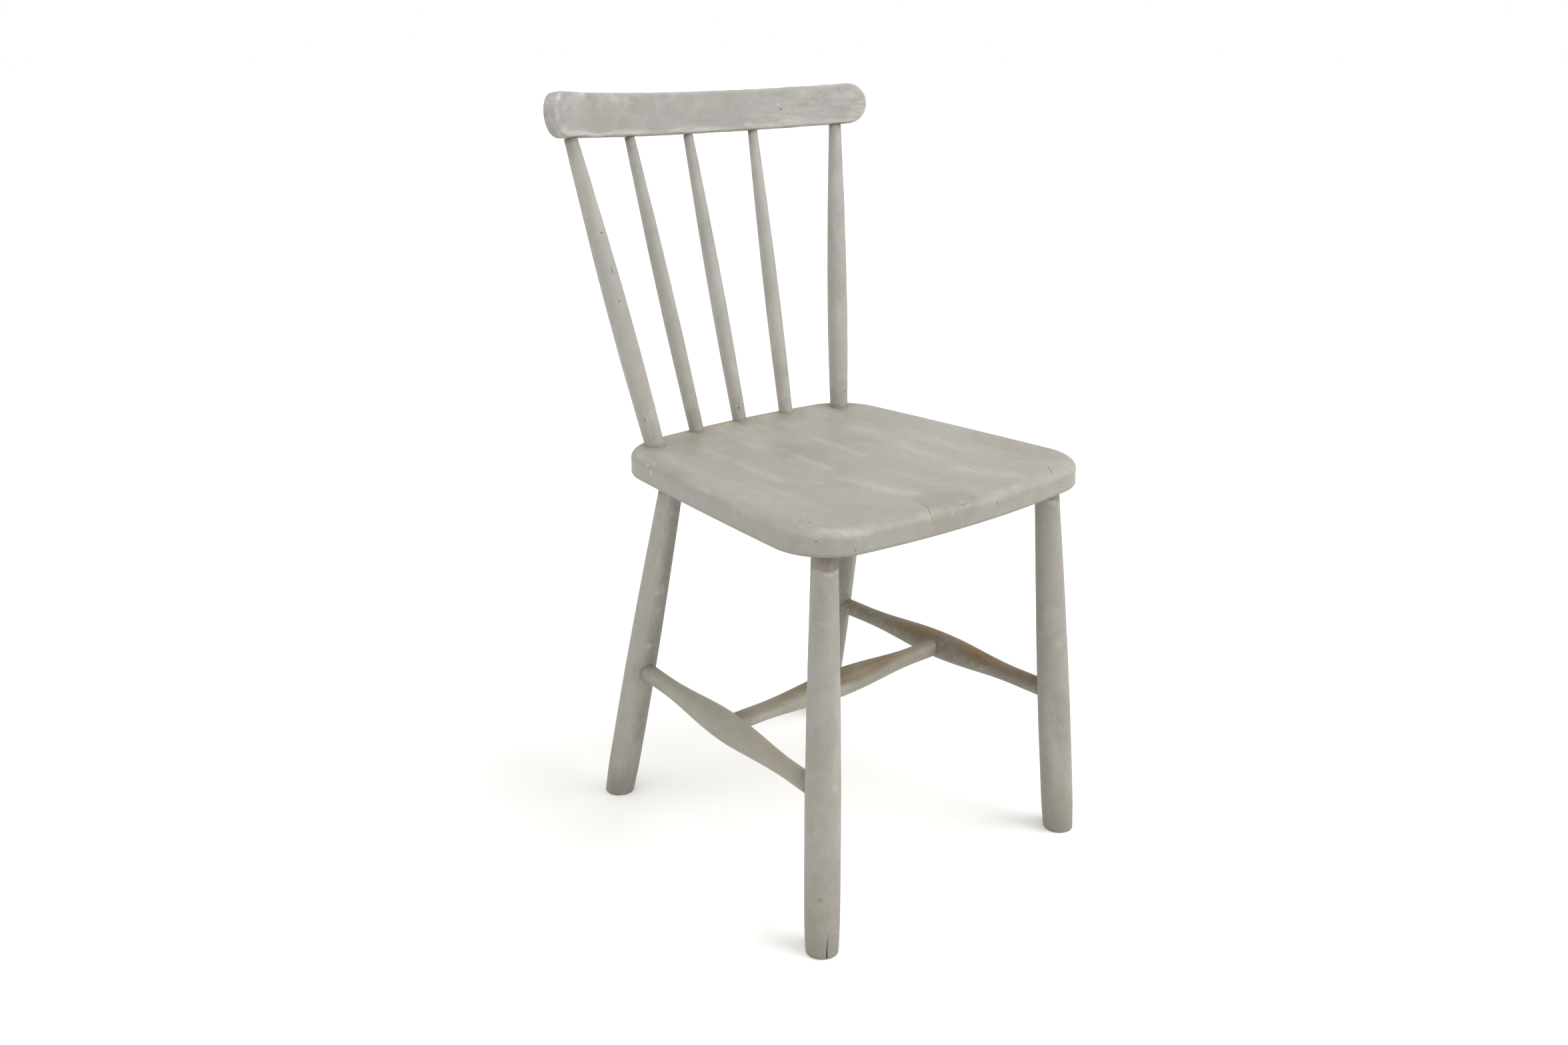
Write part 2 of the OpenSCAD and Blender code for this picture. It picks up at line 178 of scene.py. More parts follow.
POST_FOOT_X = 131.85
SPINDLE_FOOT_SPACING = 64
FEET_ROW_RADIUS = 410
FEET_ROW_SETBACK = 16
BACK_SOCKET = 16
PLAIN_FOOT = 6
SWELL_AT = 0.33
POST_RADII = (10.4, 11.8, 6.9, 4.5)          # at the foot, greatest, under the crest, tenon
SPINDLE_RADII = (8.0, 8.9, 5.4, 4.0)         # the same for a spindle

CREST_UNDERSIDE = 744
BACK_RAKE = radians(15.7)
CREST_LEAN = radians(7.0)
CREST_LENGTH = 447
CREST_HEIGHT = 45
CREST_THICKNESS = 16
CREST_BEND = 370
CREST_ROUND = 3
CREST_SOCKET = 20
POST_TOP_PLACE = 185.5
SPINDLE_TOP_PLACE = 84.5

FIT = 0.03                                   # gap all round a tenon, where paint has filled the joint
END_GAP = 0.5                                # gap past the end of a tenon
SHOULDER_GAP = 0.2                           # gap between an upright and the crest rail


def leg_axis(end, side):
    """Foot and top of a leg: its foot is where the record puts the mount of that foot."""
    mounts = {mount["name"]: mount for mount in frame["record"]["mounts"]}
    foot = np.array(mounts[f"foot_{end}_{side}"]["pos_m"]) / MM
    splay, rake = FRONT_LEG_LEAN if end == "front" else BACK_LEG_LEAN
    inwards = 1 if side == "left" else -1
    return foot, foot + np.array([inwards * splay, rake, UNDERSIDE])


def at_height(axis, z):
    return axis[0] + (axis[1] - axis[0]) * z / UNDERSIDE


legs = {(end, side): leg_axis(end, side) for end in ("front", "back") for side in ("left", "right")}
side_axes = {side: (at_height(legs["front", side], STRETCHER_FRONT),
                    at_height(legs["back", side], STRETCHER_BACK)) for side in ("left", "right")}


def cross_joint(side):
    front, back = side_axes[side]
    return front + (back - front) * CROSS_SHARE


cross_axis = (cross_joint("left"), cross_joint("right"))

row_y = SEAT_BACK - FEET_ROW_SETBACK
crest_middle = np.array([0, row_y + (CREST_UNDERSIDE - RIM) * tan(BACK_RAKE), CREST_UNDERSIDE])


def crest_place(along, up, forward):
    """Places points of a straight board on the bent and leaning crest rail."""
    turn = along / CREST_BEND
    radius = CREST_BEND - forward
    y = radius * np.cos(turn) - CREST_BEND
    lean_y = y * cos(CREST_LEAN) + up * sin(CREST_LEAN)
    lean_z = up * cos(CREST_LEAN) - y * sin(CREST_LEAN)
    return crest_middle + np.stack([radius * np.sin(turn), lean_y, lean_z], axis=-1)


def upright_axis(foot_x, top_place):
    foot_y = row_y - FEET_ROW_RADIUS + sqrt(FEET_ROW_RADIUS ** 2 - foot_x ** 2)
    zero = np.array(0.0)
    return np.array([foot_x, foot_y, RIM]), crest_place(np.array(top_place), zero, zero)


def radii_of(name):
    return POST_RADII if name.startswith("post") else SPINDLE_RADII


uprights = {
    "post_left": upright_axis(-POST_FOOT_X, -POST_TOP_PLACE),
    "spindle_left": upright_axis(-SPINDLE_FOOT_SPACING, -SPINDLE_TOP_PLACE),
    "spindle_middle": upright_axis(0.0, 0.0),
    "spindle_right": upright_axis(SPINDLE_FOOT_SPACING, SPINDLE_TOP_PLACE),
    "post_right": upright_axis(POST_FOOT_X, POST_TOP_PLACE),
}


# ---- Making meshes ----

def new_mesh(name, points, faces, material):
    mesh = bpy.data.meshes.new(name)
    mesh.from_pydata((np.asarray(points) * MM).tolist(), [], faces)
    mesh.materials.append(material)
    mesh.shade_smooth()
    item = bpy.data.objects.new(name, mesh)
    bpy.context.scene.collection.objects.link(item)
    return item


def rings_to_faces(rings, count):
    """Quads between neighbouring rings of count points each, numbered ring after ring."""
    index = np.arange(rings * count).reshape(rings, count)
    following = np.roll(index, -1, axis=1)
    quads = np.stack([index[:-1], following[:-1], following[1:], index[1:]], axis=-1)
    return quads.reshape(-1, 4).tolist()


def fan(ring, middle, upwards):
    """Triangles from a ring to its middle point."""
    following = np.roll(ring, -1)
    return [[a, b, middle] if upwards else [b, a, middle] for a, b in zip(ring.tolist(), following.tolist())]


def wedge_faces(count):
    """Faces of a run of count triangles, one behind the other, closed at both ends."""
    faces = [[0, 1, 2], [3 * count - 1, 3 * count - 2, 3 * count - 3]]
    for i in range(count - 1):
        a = 3 * i
        b = a + 3
        faces += [[b, b + 1, a + 1, a], [b + 1, b + 2, a + 2, a + 1], [b + 2, b, a, a + 2]]
    return faces


def patch(ring, across, up):
    """Grid of points that fills a ring of 2 * (across + up) points, from its first point."""
    closed = np.vstack([ring, ring[:1]])
    low = closed[:across + 1]
    right = closed[across:across + up + 1]
    high = closed[across + up:2 * across + up + 1][::-1]
    left = closed[2 * across + up:][::-1]
    u = np.linspace(0, 1, across + 1)[None, :, None]
    v = np.linspace(0, 1, up + 1)[:, None, None]
    edges = (1 - v) * low[None] + v * high[None] + (1 - u) * left[:, None] + u * right[:, None]
    middles = ((1 - u) * (1 - v) * low[0] + u * (1 - v) * low[-1]
               + (1 - u) * v * high[0] + u * v * high[-1])
    return edges - middles


def patch_faces(ring_start, grid_start, across, up, upwards):
    """Quads of a patch whose rim is a ring from ring_start and whose inside starts at grid_start."""
    index = np.zeros((up + 1, across + 1), int)
    around = ring_start + np.arange(2 * (across + up))
    index[0, :] = around[:across + 1]
    index[:, across] = around[across:across + up + 1]
    index[up, :] = around[across + up:2 * across + up + 1][::-1]
    index[1:, 0] = around[2 * across + up:][::-1]
    index[1:-1, 1:-1] = grid_start + np.arange((up - 1) * (across - 1)).reshape(up - 1, across - 1)
    quads = np.stack([index[:-1, :-1], index[:-1, 1:], index[1:, 1:], index[1:, :-1]], axis=-1)
    quads = quads.reshape(-1, 4)
    return (quads if upwards else quads[:, ::-1]).tolist()


def slab(rings, across, up):
    """Points and faces of a board: rings from the middle of its underside to that of its top."""
    count = 2 * (across + up)
    low = patch(rings[0], across, up)[1:-1, 1:-1].reshape(-1, 3)
    high = patch(rings[-1], across, up)[1:-1, 1:-1].reshape(-1, 3)
    points = np.vstack([*rings, low, high])
    low_start = len(rings) * count
    faces = rings_to_faces(len(rings), count)
    faces += patch_faces(0, low_start, across, up, False)
    faces += patch_faces(low_start - count, low_start + len(low), across, up, True)
    return points, faces


def ring_stack(outline, rings):
    """Rings of points from an outline, one for each inset and level."""
    outlines = [(outline(inset), level) for inset, level in rings]
    return [np.column_stack([ring, np.full(len(ring), level)]) for ring, level in outlines]


# ---- Turned pieces ----

class Turned:
    """A turned piece: its axis, the directions across it, and its radius along it."""

    def __init__(self, axis, reference, radius):
        self.start, self.end = axis
        self.length = norm(self.end - self.start)
        self.along = unit(self.end - self.start)
        self.side = unit(reference - self.along * (reference @ self.along))
        self.other = np.cross(self.along, self.side)
        self.radius = radius

    def outwards(self, heading):
        return np.cos(heading)[..., None] * self.side + np.sin(heading)[..., None] * self.other

    def surface(self, station, heading, shrink=0.0):
        radius = self.radius(station) - shrink
        return self.start + station[..., None] * self.along + radius[..., None] * self.outwards(heading)

    def spot(self, station, degrees):
        """One point of the surface, with its heading in degrees."""
        return self.surface(np.array(float(station)), np.array(radians(degrees)))

    def meets(self, headings, point, normal):
        """Stations at which the surface meets a plane, or each heading's own plane."""
        station = np.zeros(len(headings))
        for _ in range(4):
            across = self.radius(station) * (self.outwards(headings) @ normal)
            station = ((point - self.start) @ normal - across) / (self.along @ normal)
        return station

    def local(self, points):
        """Points across and along the piece, and their headings."""
        arm = points - self.start
        across = np.stack([arm @ self.side, arm @ self.other, arm @ self.along], axis=-1)
        return across, np.arctan2(across[:, 1], across[:, 0])


RING_SPACING = 2
TRUE_END = 24                                # this close to its ends, a turned piece is exactly round
UNEVEN_FROM = 60                             # and from here on it is fully uneven


def turned_rings(shape, low, high, segments, seed):
    """Rings of points up a turned piece, between its stations low and high for each heading."""
    low = np.broadcast_to(low, segments)
    high = np.broadcast_to(high, segments)
    rings = int((high.mean() - low.mean()) / RING_SPACING)
    share = np.linspace(0, 1, rings)[:, None]
    station = low + (high - low) * share
    heading = np.broadcast_to(all_round(segments), station.shape)
    flat = shape.surface(station, heading).reshape(-1, 3)
    shrink = 0.05 * (1.6 + wobble(flat, 30, seed)) + 0.02 * (1.6 + wobble(flat, 5, seed + 1))
    from_end = np.minimum(station - low, high - station)
    shrink = shrink.reshape(station.shape) * step(from_end, TRUE_END, UNEVEN_FROM)
    return shape.surface(station, heading, shrink)


def close_ends(rings, low_point, high_point):
    """Joins rings into one closed mesh with a middle point at each end."""
    count = len(rings[0])
    points = np.vstack([*rings, low_point[None], high_point[None]])
    faces = rings_to_faces(len(rings), count)
    first = np.arange(count)
    last = first + (len(rings) - 1) * count
    faces += fan(first, len(points) - 2, False)
    faces += fan(last, len(points) - 1, True)
    return points, faces


# ---- Paint ----

def linear(colour):
    """An sRGB colour in 0 to 255 as the linear colour that a shader takes."""
    share = np.array(colour) / 255
    low = share / 12.92
    high = ((share + 0.055) / 1.055) ** 2.4
    return (*np.where(share <= 0.04045, low, high).tolist(), 1.0)


class Graph:
    """Adds nodes to a material or world, with values or other nodes' outputs at their inputs."""

    def __init__(self, block):
        self.block = block
        block.use_nodes = True
        self.nodes = block.node_tree.nodes
        self.links = block.node_tree.links
        self.nodes.clear()

    def add(self, kind, output=0, inputs=(), **settings):
        node = self.nodes.new(kind)
        for name, value in settings.items():
            setattr(node, name, value)
        for key, value in dict(inputs).items():
            if isinstance(value, bpy.types.NodeSocket):
                self.links.new(value, node.inputs[key])
            else:
                node.inputs[key].default_value = value
        return node.outputs[output]

    def attribute(self, name, output="Fac"):
        return self.add("ShaderNodeAttribute", output, attribute_name=name)

    def stretched(self, vector, scale):
        return self.add("ShaderNodeVectorMath", 0, {0: vector, 1: scale}, operation="MULTIPLY")

    def noise(self, vector, scale, detail=3.0, roughness=0.55, distortion=0.0):
        return self.add("ShaderNodeTexNoise", "Fac", {
            "Vector": vector, "Scale": scale, "Detail": detail, "Roughness": roughness,
            "Distortion": distortion})

    def between(self, value, low, high, to_low=0.0, to_high=1.0):
        return self.add("ShaderNodeMapRange", "Result", {
            "Value": value, "From Min": low, "From Max": high, "To Min": to_low, "To Max": to_high},
            interpolation_type="SMOOTHSTEP")

    def maths(self, operation, first, second=0.0):
        return self.add("ShaderNodeMath", 0, {0: first, 1: second}, operation=operation)

    def times(self, first, second):
        return self.maths("MULTIPLY", first, second)

    def plus(self, first, second):
        return self.maths("ADD", first, second)

    def mix(self, factor, first, second, blend="MIX"):
        return self.add("ShaderNodeMix", 2, {0: factor, 6: first, 7: second},
                        data_type="RGBA", blend_type=blend)

    def finish(self, shader, kind="ShaderNodeOutputMaterial"):
        """Links the shader to an output node, and returns the material or world."""
        output = self.nodes.new(kind)
        self.links.new(shader, output.inputs["Surface"])
        return self.block


ROSE = (190, 165, 156)
# The pale colour is for rubbed paint and for painted highlights; the dark one is for dirt and for painted
# shade.
CHALK_AND_HIGHLIGHT = (214, 210, 204)
GRIME_AND_SHADE = (78, 67, 50)


def paint(name, base, beige, cool, wood_dark, wood_light, roughness, scuffs=0.26, specks=0.0,
          ragged_edge=1.0):
    """Worn satin paint on wood. It reads three masks, a pale one for rubbed paint and painted highlights,
    a dark one for dirt and painted shade, and bare, and the grain's own coordinates: the third one runs
    along the grain."""
    g = Graph(bpy.data.materials.new(name))
    local = g.attribute("grain", "Vector")
    fibre = g.stretched(local, (1, 1, 0.045))
    brush = g.stretched(local, (1, 1, 0.12))

    blotch = g.noise(local, 20, 5, 0.62, 0.3)
    cloud = g.noise(local, 60, 5, 0.6)
    streak = g.noise(brush, 210, 5, 0.65)
    fine = g.noise(fibre, 620, 4, 0.6)
    rose = g.noise(g.stretched(local, (1.3, 1.1, 0.8)), 75, 3, 0.5)

    colour = g.mix(g.between(blotch, 0.36, 0.64), linear(beige), linear(cool))
    colour = g.mix(0.5, colour, linear(base))
    colour = g.mix(g.between(rose, 0.55, 0.72, 0.0, 0.16), colour, linear(ROSE))
    shade = g.plus(g.between(cloud, 0.3, 0.7, -0.06, 0.06), g.between(streak, 0.25, 0.75, -0.022, 0.022))
    shade = g.plus(shade, g.between(fine, 0.2, 0.8, -0.014, 0.014))
    lighter = g.plus(1.0, shade)
    colour = g.mix(1.0, colour, g.add("ShaderNodeCombineColor", 0, {0: lighter, 1: lighter, 2: lighter}),
                   "MULTIPLY")

    dry = g.noise(g.stretched(local, (1, 1, 0.22)), 210, 6, 0.72)
    hairline = g.noise(g.stretched(local, (1, 1, 0.02)), 900, 3, 0.5)
    # Pale mask: paint rubbed pale, and on some pieces a painted highlight.
    chalk_and_highlight = g.times(g.attribute("chalk_and_highlight"), g.between(dry, 0.32, 0.66, 0.25, 1.0))
    chalk_and_highlight = g.plus(chalk_and_highlight, g.between(hairline, 0.66, 0.74, 0.0, 0.16))
    scuff = g.noise(g.stretched(local, (1, 1, 0.35)), 240, 6, 0.72, 0.4)
    chalk_and_highlight = g.plus(chalk_and_highlight, g.between(scuff, 0.58, 0.68, 0.0, scuffs))
    chalk_and_highlight = g.maths("MINIMUM", chalk_and_highlight, 0.85)
    colour = g.mix(chalk_and_highlight, colour, linear(CHALK_AND_HIGHLIGHT))

    dirt = g.noise(local, 130, 6, 0.7)
    # Dark mask: dirt, and on some pieces painted shade.
    grime_and_shade = g.times(g.attribute("grime_and_shade"), g.between(dirt, 0.25, 0.7, 0.55, 1.0))
    speck = g.add("ShaderNodeTexVoronoi", "Distance", {"Vector": local, "Scale": 95.0, "Randomness": 1.0})
    speck_size = g.noise(local, 23, 2, 0.5)
    speck = g.times(g.between(speck, 0.06, 0.03), g.between(speck_size, 0.58, 0.64))
    grime_and_shade = g.maths("MAXIMUM", grime_and_shade, g.times(speck, specks))
    colour = g.mix(grime_and_shade, colour, linear(GRIME_AND_SHADE))

    ragged = g.plus(g.times(g.noise(brush, 150, 6, 0.7), 0.7), g.times(g.noise(local, 45, 5, 0.6), 0.5))
    bare = g.plus(g.attribute("bare"), g.times(g.plus(ragged, -0.6), ragged_edge))
    bare = g.between(bare, 0.18, 0.95)
    ring = g.noise(g.stretched(local, (1, 1, 0.03)), 330, 6, 0.7, 0.3)
    wood = g.mix(g.between(ring, 0.2, 0.8), linear(wood_dark), linear(wood_light))
    colour = g.mix(bare, colour, wood)

    rough = g.between(cloud, 0.3, 0.7, roughness - 0.05, roughness + 0.05)
    rough = g.plus(rough, g.times(chalk_and_highlight, 0.18))
    rough = g.plus(rough, g.times(g.maths("MAXIMUM", bare, grime_and_shade), 0.12))
    height = g.plus(g.times(streak, 0.55), g.times(fine, 0.25))
    height = g.plus(height, g.times(cloud, 0.8))
    height = g.plus(height, g.times(g.plus(1.0, g.times(bare, -1.0)), 0.5))
    height = g.plus(height, g.times(g.times(bare, ring), 0.6))
    bump = g.add("ShaderNodeBump", 0, {"Strength": 0.35, "Distance": 0.0006, "Height": height})
    return g.finish(g.add("ShaderNodeBsdfPrincipled", 0, {
        "Base Color": colour, "Roughness": rough, "Normal": bump, "Specular IOR Level": 0.38}))


def cut_surface(name, dark, light):
    """The inside of a cut: dirty raw wood in cracks, nicks and splits, or paint scraped pale."""
    g = Graph(bpy.data.materials.new(name))
    place = g.add("ShaderNodeTexCoord", "Object")
    dirt = g.noise(place, 400, 4, 0.6)
    colour = g.mix(g.between(dirt, 0.3, 0.7), linear(dark), linear(light))
    rough = g.between(dirt, 0.2, 0.8, 0.75, 0.9)
    bump = g.add("ShaderNodeBump", 0, {"Strength": 0.4, "Distance": 0.0004, "Height": dirt})
    return g.finish(g.add("ShaderNodeBsdfPrincipled", 0, {
        "Base Color": colour, "Roughness": rough, "Normal": bump}))


WARM = (178, 173, 163)
COOL = (173, 173, 168)
seat_paint = paint("seat_paint", (170, 166, 158), (174, 167, 152), (167, 167, 161),
                   (156, 133, 100), (192, 174, 142), 0.50, specks=0.25)
crest_paint = paint("crest_paint", (174, 170, 165), (177, 170, 163), (170, 168, 165),
                    (150, 128, 108), (188, 170, 150), 0.52, scuffs=0.42)
post_paint = paint("post_paint", (178, 175, 167), WARM, COOL, (112, 88, 66), (150, 124, 96), 0.50)
spindle_paint = paint("spindle_paint", (178, 175, 166), WARM, COOL, (112, 88, 66), (150, 124, 96), 0.48)
leg_paint = paint("leg_paint", (169, 166, 156), (171, 165, 153), (167, 166, 159),
                  (128, 114, 102), (158, 145, 132), 0.52)
stretcher_paint = paint("stretcher_paint", (172, 167, 154), (173, 164, 145), (164, 163, 151),
                        (107, 88, 64), (153, 129, 96), 0.55, ragged_edge=0.4)
raw_wood = cut_surface("raw_wood", (114, 101, 85), (148, 134, 115))
scraped = cut_surface("scraped_paint", (196, 193, 186), (214, 211, 205))


# ---- Cutting: cracks, nicks and sockets ----

NICK_SIZE = 0.8                              # share of its given radius that a nick is cut at
CRACK_SPACING = 1.5
CRACK_LIFT = 0.6                             # how far a crack's cutter stands out of the surface
SPLIT_LIFT = 2
BORE_RUN = 12                                # how far a bore runs on outside the wood


class Cutters:
    """Gathers the shapes that are cut out of one piece, then cuts them."""

    def __init__(self, item):
        self.item = item
        points = [Vector(vertex.co) / MM for vertex in item.data.vertices]
        faces = [tuple(face.vertices) for face in item.data.polygons]
        self.tree = BVHTree.FromPolygons(points, faces)
        self.points = []
        self.faces = []
        self.pale = []

    def add(self, points, faces, pale=False):
        first = len(self.points)
        self.points += [list(point) for point in points]
        self.faces += [[first + i for i in face] for face in faces]
        self.pale += [pale] * len(faces)

    def snapped(self, point):
        place, normal, _, _ = self.tree.find_nearest(Vector(point))
        return np.array(place), np.array(normal)

    def crack(self, path, width, depth, seed, jitter=0.25, pale=False):
        """A wedge along a path on the surface, finest at its ends, wandering a little."""
        random = np.random.default_rng(seed)
        path = [np.array(point, float) for point in path]
        stops = [path[0]]
        for a, b in zip(path[:-1], path[1:]):
            count = max(1, int(norm(b - a) / CRACK_SPACING))
            stops += [a + (b - a) * (i + 1) / count for i in range(count)]
        last = len(stops) - 1
        points = []
        for i, stop in enumerate(stops):
            ahead = unit(stops[min(i + 1, last)] - stops[max(i - 1, 0)])
            place, normal = self.snapped(stop)
            across = unit(np.cross(ahead, normal))
            place = place + across * random.normal() * jitter
            share = i / last
            opening = (0.25 + 0.75 * sin(pi * share) ** 0.6) * random.uniform(0.75, 1.15)
            top = place + normal * CRACK_LIFT
            bottom = place - normal * depth * opening
            spread = width / 2 * opening * (1 + CRACK_LIFT / depth)
            points += [top - across * spread, bottom, top + across * spread]
        self.add(points, wedge_faces(len(stops)), pale)

    def wedge(self, stops):
        """A wedge through stops, each a place, an outward direction, an opening and a depth."""
        points = []
        last = len(stops) - 1
        for i, (place, outwards, width, depth) in enumerate(stops):
            ahead = unit(stops[min(i + 1, last)][0] - stops[max(i - 1, 0)][0])
            across = unit(np.cross(ahead, outwards))
            top = place + outwards * SPLIT_LIFT
            points += [top - across * width / 2, place - outwards * depth, top + across * width / 2]
        self.add(points, wedge_faces(len(stops)))

    def nick(self, point, radius, depth, stretch=1.0, direction=(0.0, 1.0, 0.3)):
        """A small hollow, longer along direction where stretch is above 1."""
        radius *= NICK_SIZE
        place, normal = self.snapped(point)
        along = np.array(direction, float)
        along = unit(along - normal * (along @ normal))
        across = np.cross(normal, along)
        sides = 9
        levels = [(0.5, 1.25), (0.0, 1.0), (-0.6, 0.75), (-0.95, 0.4)]
        points = []
        for level, share in levels:
            for i in range(sides):
                turn = 2 * pi * i / sides
                ragged = share * radius * (1 + 0.12 * sin(3 * turn + 5 * radius) + 0.08 * sin(5 * turn))
                points.append(place + normal * depth * level + ragged * (
                    stretch * cos(turn) * along + sin(turn) * across))
        points += [place + normal * depth * 0.5, place - normal * depth]
        faces = [face[::-1] for face in rings_to_faces(len(levels), sides)]
        top = np.arange(sides)
        faces += fan(top, len(points) - 2, True)
        faces += fan(top + sides * (len(levels) - 1), len(points) - 1, False)
        self.add(points, faces)

    def nicks(self, shape, marks):
        """Nicks in a turned piece: station, heading in degrees, radius, depth and stretch of each."""
        for station, heading, radius, depth, stretch in marks:
            self.nick(shape.spot(station, heading), radius, depth, stretch, shape.along)

    def bore(self, origin, axis, low, high, radius, sides=48):
        """A round hole along an axis, between two distances from its origin."""
        ahead = unit(axis[1] - axis[0])
        start = origin + ahead * low
        end = origin + ahead * high
        shape = Turned((start, end), X if abs(ahead[0]) < 0.8 else Z, None)
        rim = shape.outwards(all_round(sides)) * (radius + FIT)
        points = np.vstack([start + rim, end + rim, start[None], end[None]])
        faces = rings_to_faces(2, sides)
        faces += fan(np.arange(sides), 2 * sides, False)
        faces += fan(np.arange(sides) + sides, 2 * sides + 1, True)
        self.add(points, faces)

    def cut(self, sharp=radians(32)):
        cutter = new_mesh(self.item.name + ".cutter", self.points, self.faces, raw_wood)
        cutter.data.materials.append(scraped)
        cutter.data.polygons.foreach_set("material_index", np.array(self.pale, np.int32))
        modifier = self.item.modifiers.new("cut", "BOOLEAN")
        modifier.operation = "DIFFERENCE"
        modifier.solver = "EXACT"
        modifier.material_mode = "TRANSFER"
        modifier.object = cutter
        graph = bpy.context.evaluated_depsgraph_get()
        mesh = bpy.data.meshes.new_from_object(self.item.evaluated_get(graph))
        self.item.modifiers.clear()
        old = self.item.data
        self.item.data = mesh
        bpy.data.meshes.remove(old)
        bpy.data.objects.remove(cutter)
        mesh.set_sharp_from_angle(angle=sharp)


# ---- Masks ----
#
# Each make_ function below ends in a wear_ function, which gives every point of the cut piece three
# masks from 0 to 1: a pale one, paint rubbed pale and in a few places a painted highlight; a dark one,
# dirt and in a few places painted shade; and bare, wood without paint. A mask is put together from
# layers. Each layer is a strength times soft steps, which say where it is, and a wobble makes its
# border ragged or breaks it up. A wobble's points are stretched along the grain, its lumps are about
# as large as the number after them, and the last number is its seed.

def points_of(item):
    points = np.empty(len(item.data.vertices) * 3)
    item.data.vertices.foreach_get("co", points)
    return points.reshape(-1, 3) / MM


def hand_over(item, grain, chalk_and_highlight, grime_and_shade, bare):
    """Stores the grain's coordinates and the three masks on a piece, and gives it to the frame."""
    mesh = item.data
    layer = mesh.attributes.new("grain", "FLOAT_VECTOR", "POINT")
    layer.data.foreach_set("vector", (grain * MM).astype(np.float32).ravel())
    for name, values in (("chalk_and_highlight", chalk_and_highlight), ("grime_and_shade", grime_and_shade), ("bare", bare)):
        layer = mesh.attributes.new(name, "FLOAT", "POINT")
        layer.data.foreach_set("value", np.clip(values, 0, 1).astype(np.float32))
    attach(item, "root")
    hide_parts(item.name.removesuffix("_piece"))


# ---- Seat ----

def crossing(a, radius_a, b, radius_b, side):
    """Where two circles cross, on the side given."""
    span = b - a
    reach = norm(span)
    ahead = span / reach
    along = (radius_a ** 2 - radius_b ** 2 + reach ** 2) / (2 * reach)
    return a + along * ahead + side * sqrt(radius_a ** 2 - along ** 2) * np.array([-ahead[1], ahead[0]])


def heading_of(v):
    return atan2(v[1], v[0])


half_depth = (SEAT_BACK - SEAT_FRONT) / 2
side_a = np.array([SEAT_FRONT_WIDTH / 2, -half_depth])
side_b = np.array([SEAT_BACK_WIDTH / 2, half_depth])
side_span = side_b - side_a
side_centre = (side_a + side_b) / 2 + unit(np.array([-side_span[1], side_span[0]])) * sqrt(
    SIDE_BOW ** 2 - (norm(side_span) / 2) ** 2)
front_centre = np.array([0, FRONT_BOW - half_depth])
back_centre = np.array([0, half_depth - BACK_BOW])
front_corner = crossing(front_centre, FRONT_BOW - FRONT_CORNER, side_centre, SIDE_BOW - FRONT_CORNER, 1)
back_corner = crossing(side_centre, SIDE_BOW - BACK_CORNER, back_centre, BACK_BOW - BACK_CORNER, 1)
front_turn = heading_of(front_corner - front_centre)
side_start = heading_of(front_corner - side_centre)
side_end = heading_of(back_corner - side_centre)
back_turn = heading_of(back_corner - back_centre)

SEAT_FRONT_CELLS = 52                        # along half of the front edge, and of the back edge
SEAT_SIDE_CELLS = 104
SEAT_CORNER_CELLS = 32
SEAT_PATCH_INSET = 46                        # within this inset, a patch of points fills the rings


def arc(centre, radius, start, end, cells):
    turn = start + (end - start) * np.arange(cells) / cells
    return centre + radius * np.stack([np.cos(turn), np.sin(turn)], axis=1)


def seat_outline(inset):
    """Points around the seat, counterclockwise, from the middle of its front left corner."""
    right_half = np.vstack([
        arc(front_centre, FRONT_BOW - inset, -pi / 2, front_turn, SEAT_FRONT_CELLS),
        arc(front_corner, FRONT_CORNER - inset, front_turn, side_start, SEAT_CORNER_CELLS),
        arc(side_centre, SIDE_BOW - inset, side_start, side_end, SEAT_SIDE_CELLS),
        arc(back_corner, BACK_CORNER - inset, side_end, back_turn, SEAT_CORNER_CELLS),
        arc(back_centre, BACK_BOW - inset, back_turn, pi / 2, SEAT_FRONT_CELLS),
        [[0, half_depth - inset]]])
    left_half = right_half[-2:0:-1] * [-1, 1]
    ring = np.vstack([right_half, left_half])
    return np.roll(ring, SEAT_FRONT_CELLS + SEAT_CORNER_CELLS // 2, axis=0) + [0, SEAT_Y]


SEAT_STREAKS = [
    # start, end, half width, strength: pale rubbed streaks that follow the grain
    ((-91, 76), (-91, 50), 3, 0.6),
    ((-94, 10), (-97, -48), 4, 0.9),
    ((-29, 2), (-32, -54), 3, 0.9),
    ((29, 32), (26, -40), 3, 0.8),
    ((91, 38), (80, -26), 5, 0.45),
    ((-38, 56), (-29, 32), 4, 0.6),
    ((-149, 70), (-152, 20), 6, 0.5),
    ((-44, -100), (-29, -178), 5, 1.0),
    ((82, -50), (82, -94), 5, 0.55),
    ((71, -155), (84, -199), 6, 0.7),
    ((96, 22), (93, -40), 4, 0.4),
    ((10, -110), (14, -170), 4, 0.5),
    ((120, -20), (124, -110), 7, 0.5),
    ((-120, -60), (-124, -120), 5, 0.4),
]
SEAT_CRACKS = [
    # path, width, depth, whether the paint is scraped pale in it
    ([(-50, -202, 434), (-55, -219, 433), (-61, -229, 431), (-61, -234, 424)], 0.6, 0.6, False),
    ([(135, -138, 434), (138, -178, 434)], 0.4, 0.4, False),
    ([(40.5, -183, 434), (34, -221, 433)], 0.4, 0.35, False),
    ([(128, -208, 434), (120.5, -220, 433), (118, -225, 430)], 0.7, 0.7, False),
    ([(-11, -231, 431), (-24, -231.5, 431)], 0.6, 0.35, False),
    ([(-34.5, -233.6, 428), (-38.5, -234, 422)], 0.8, 0.35, True),
]
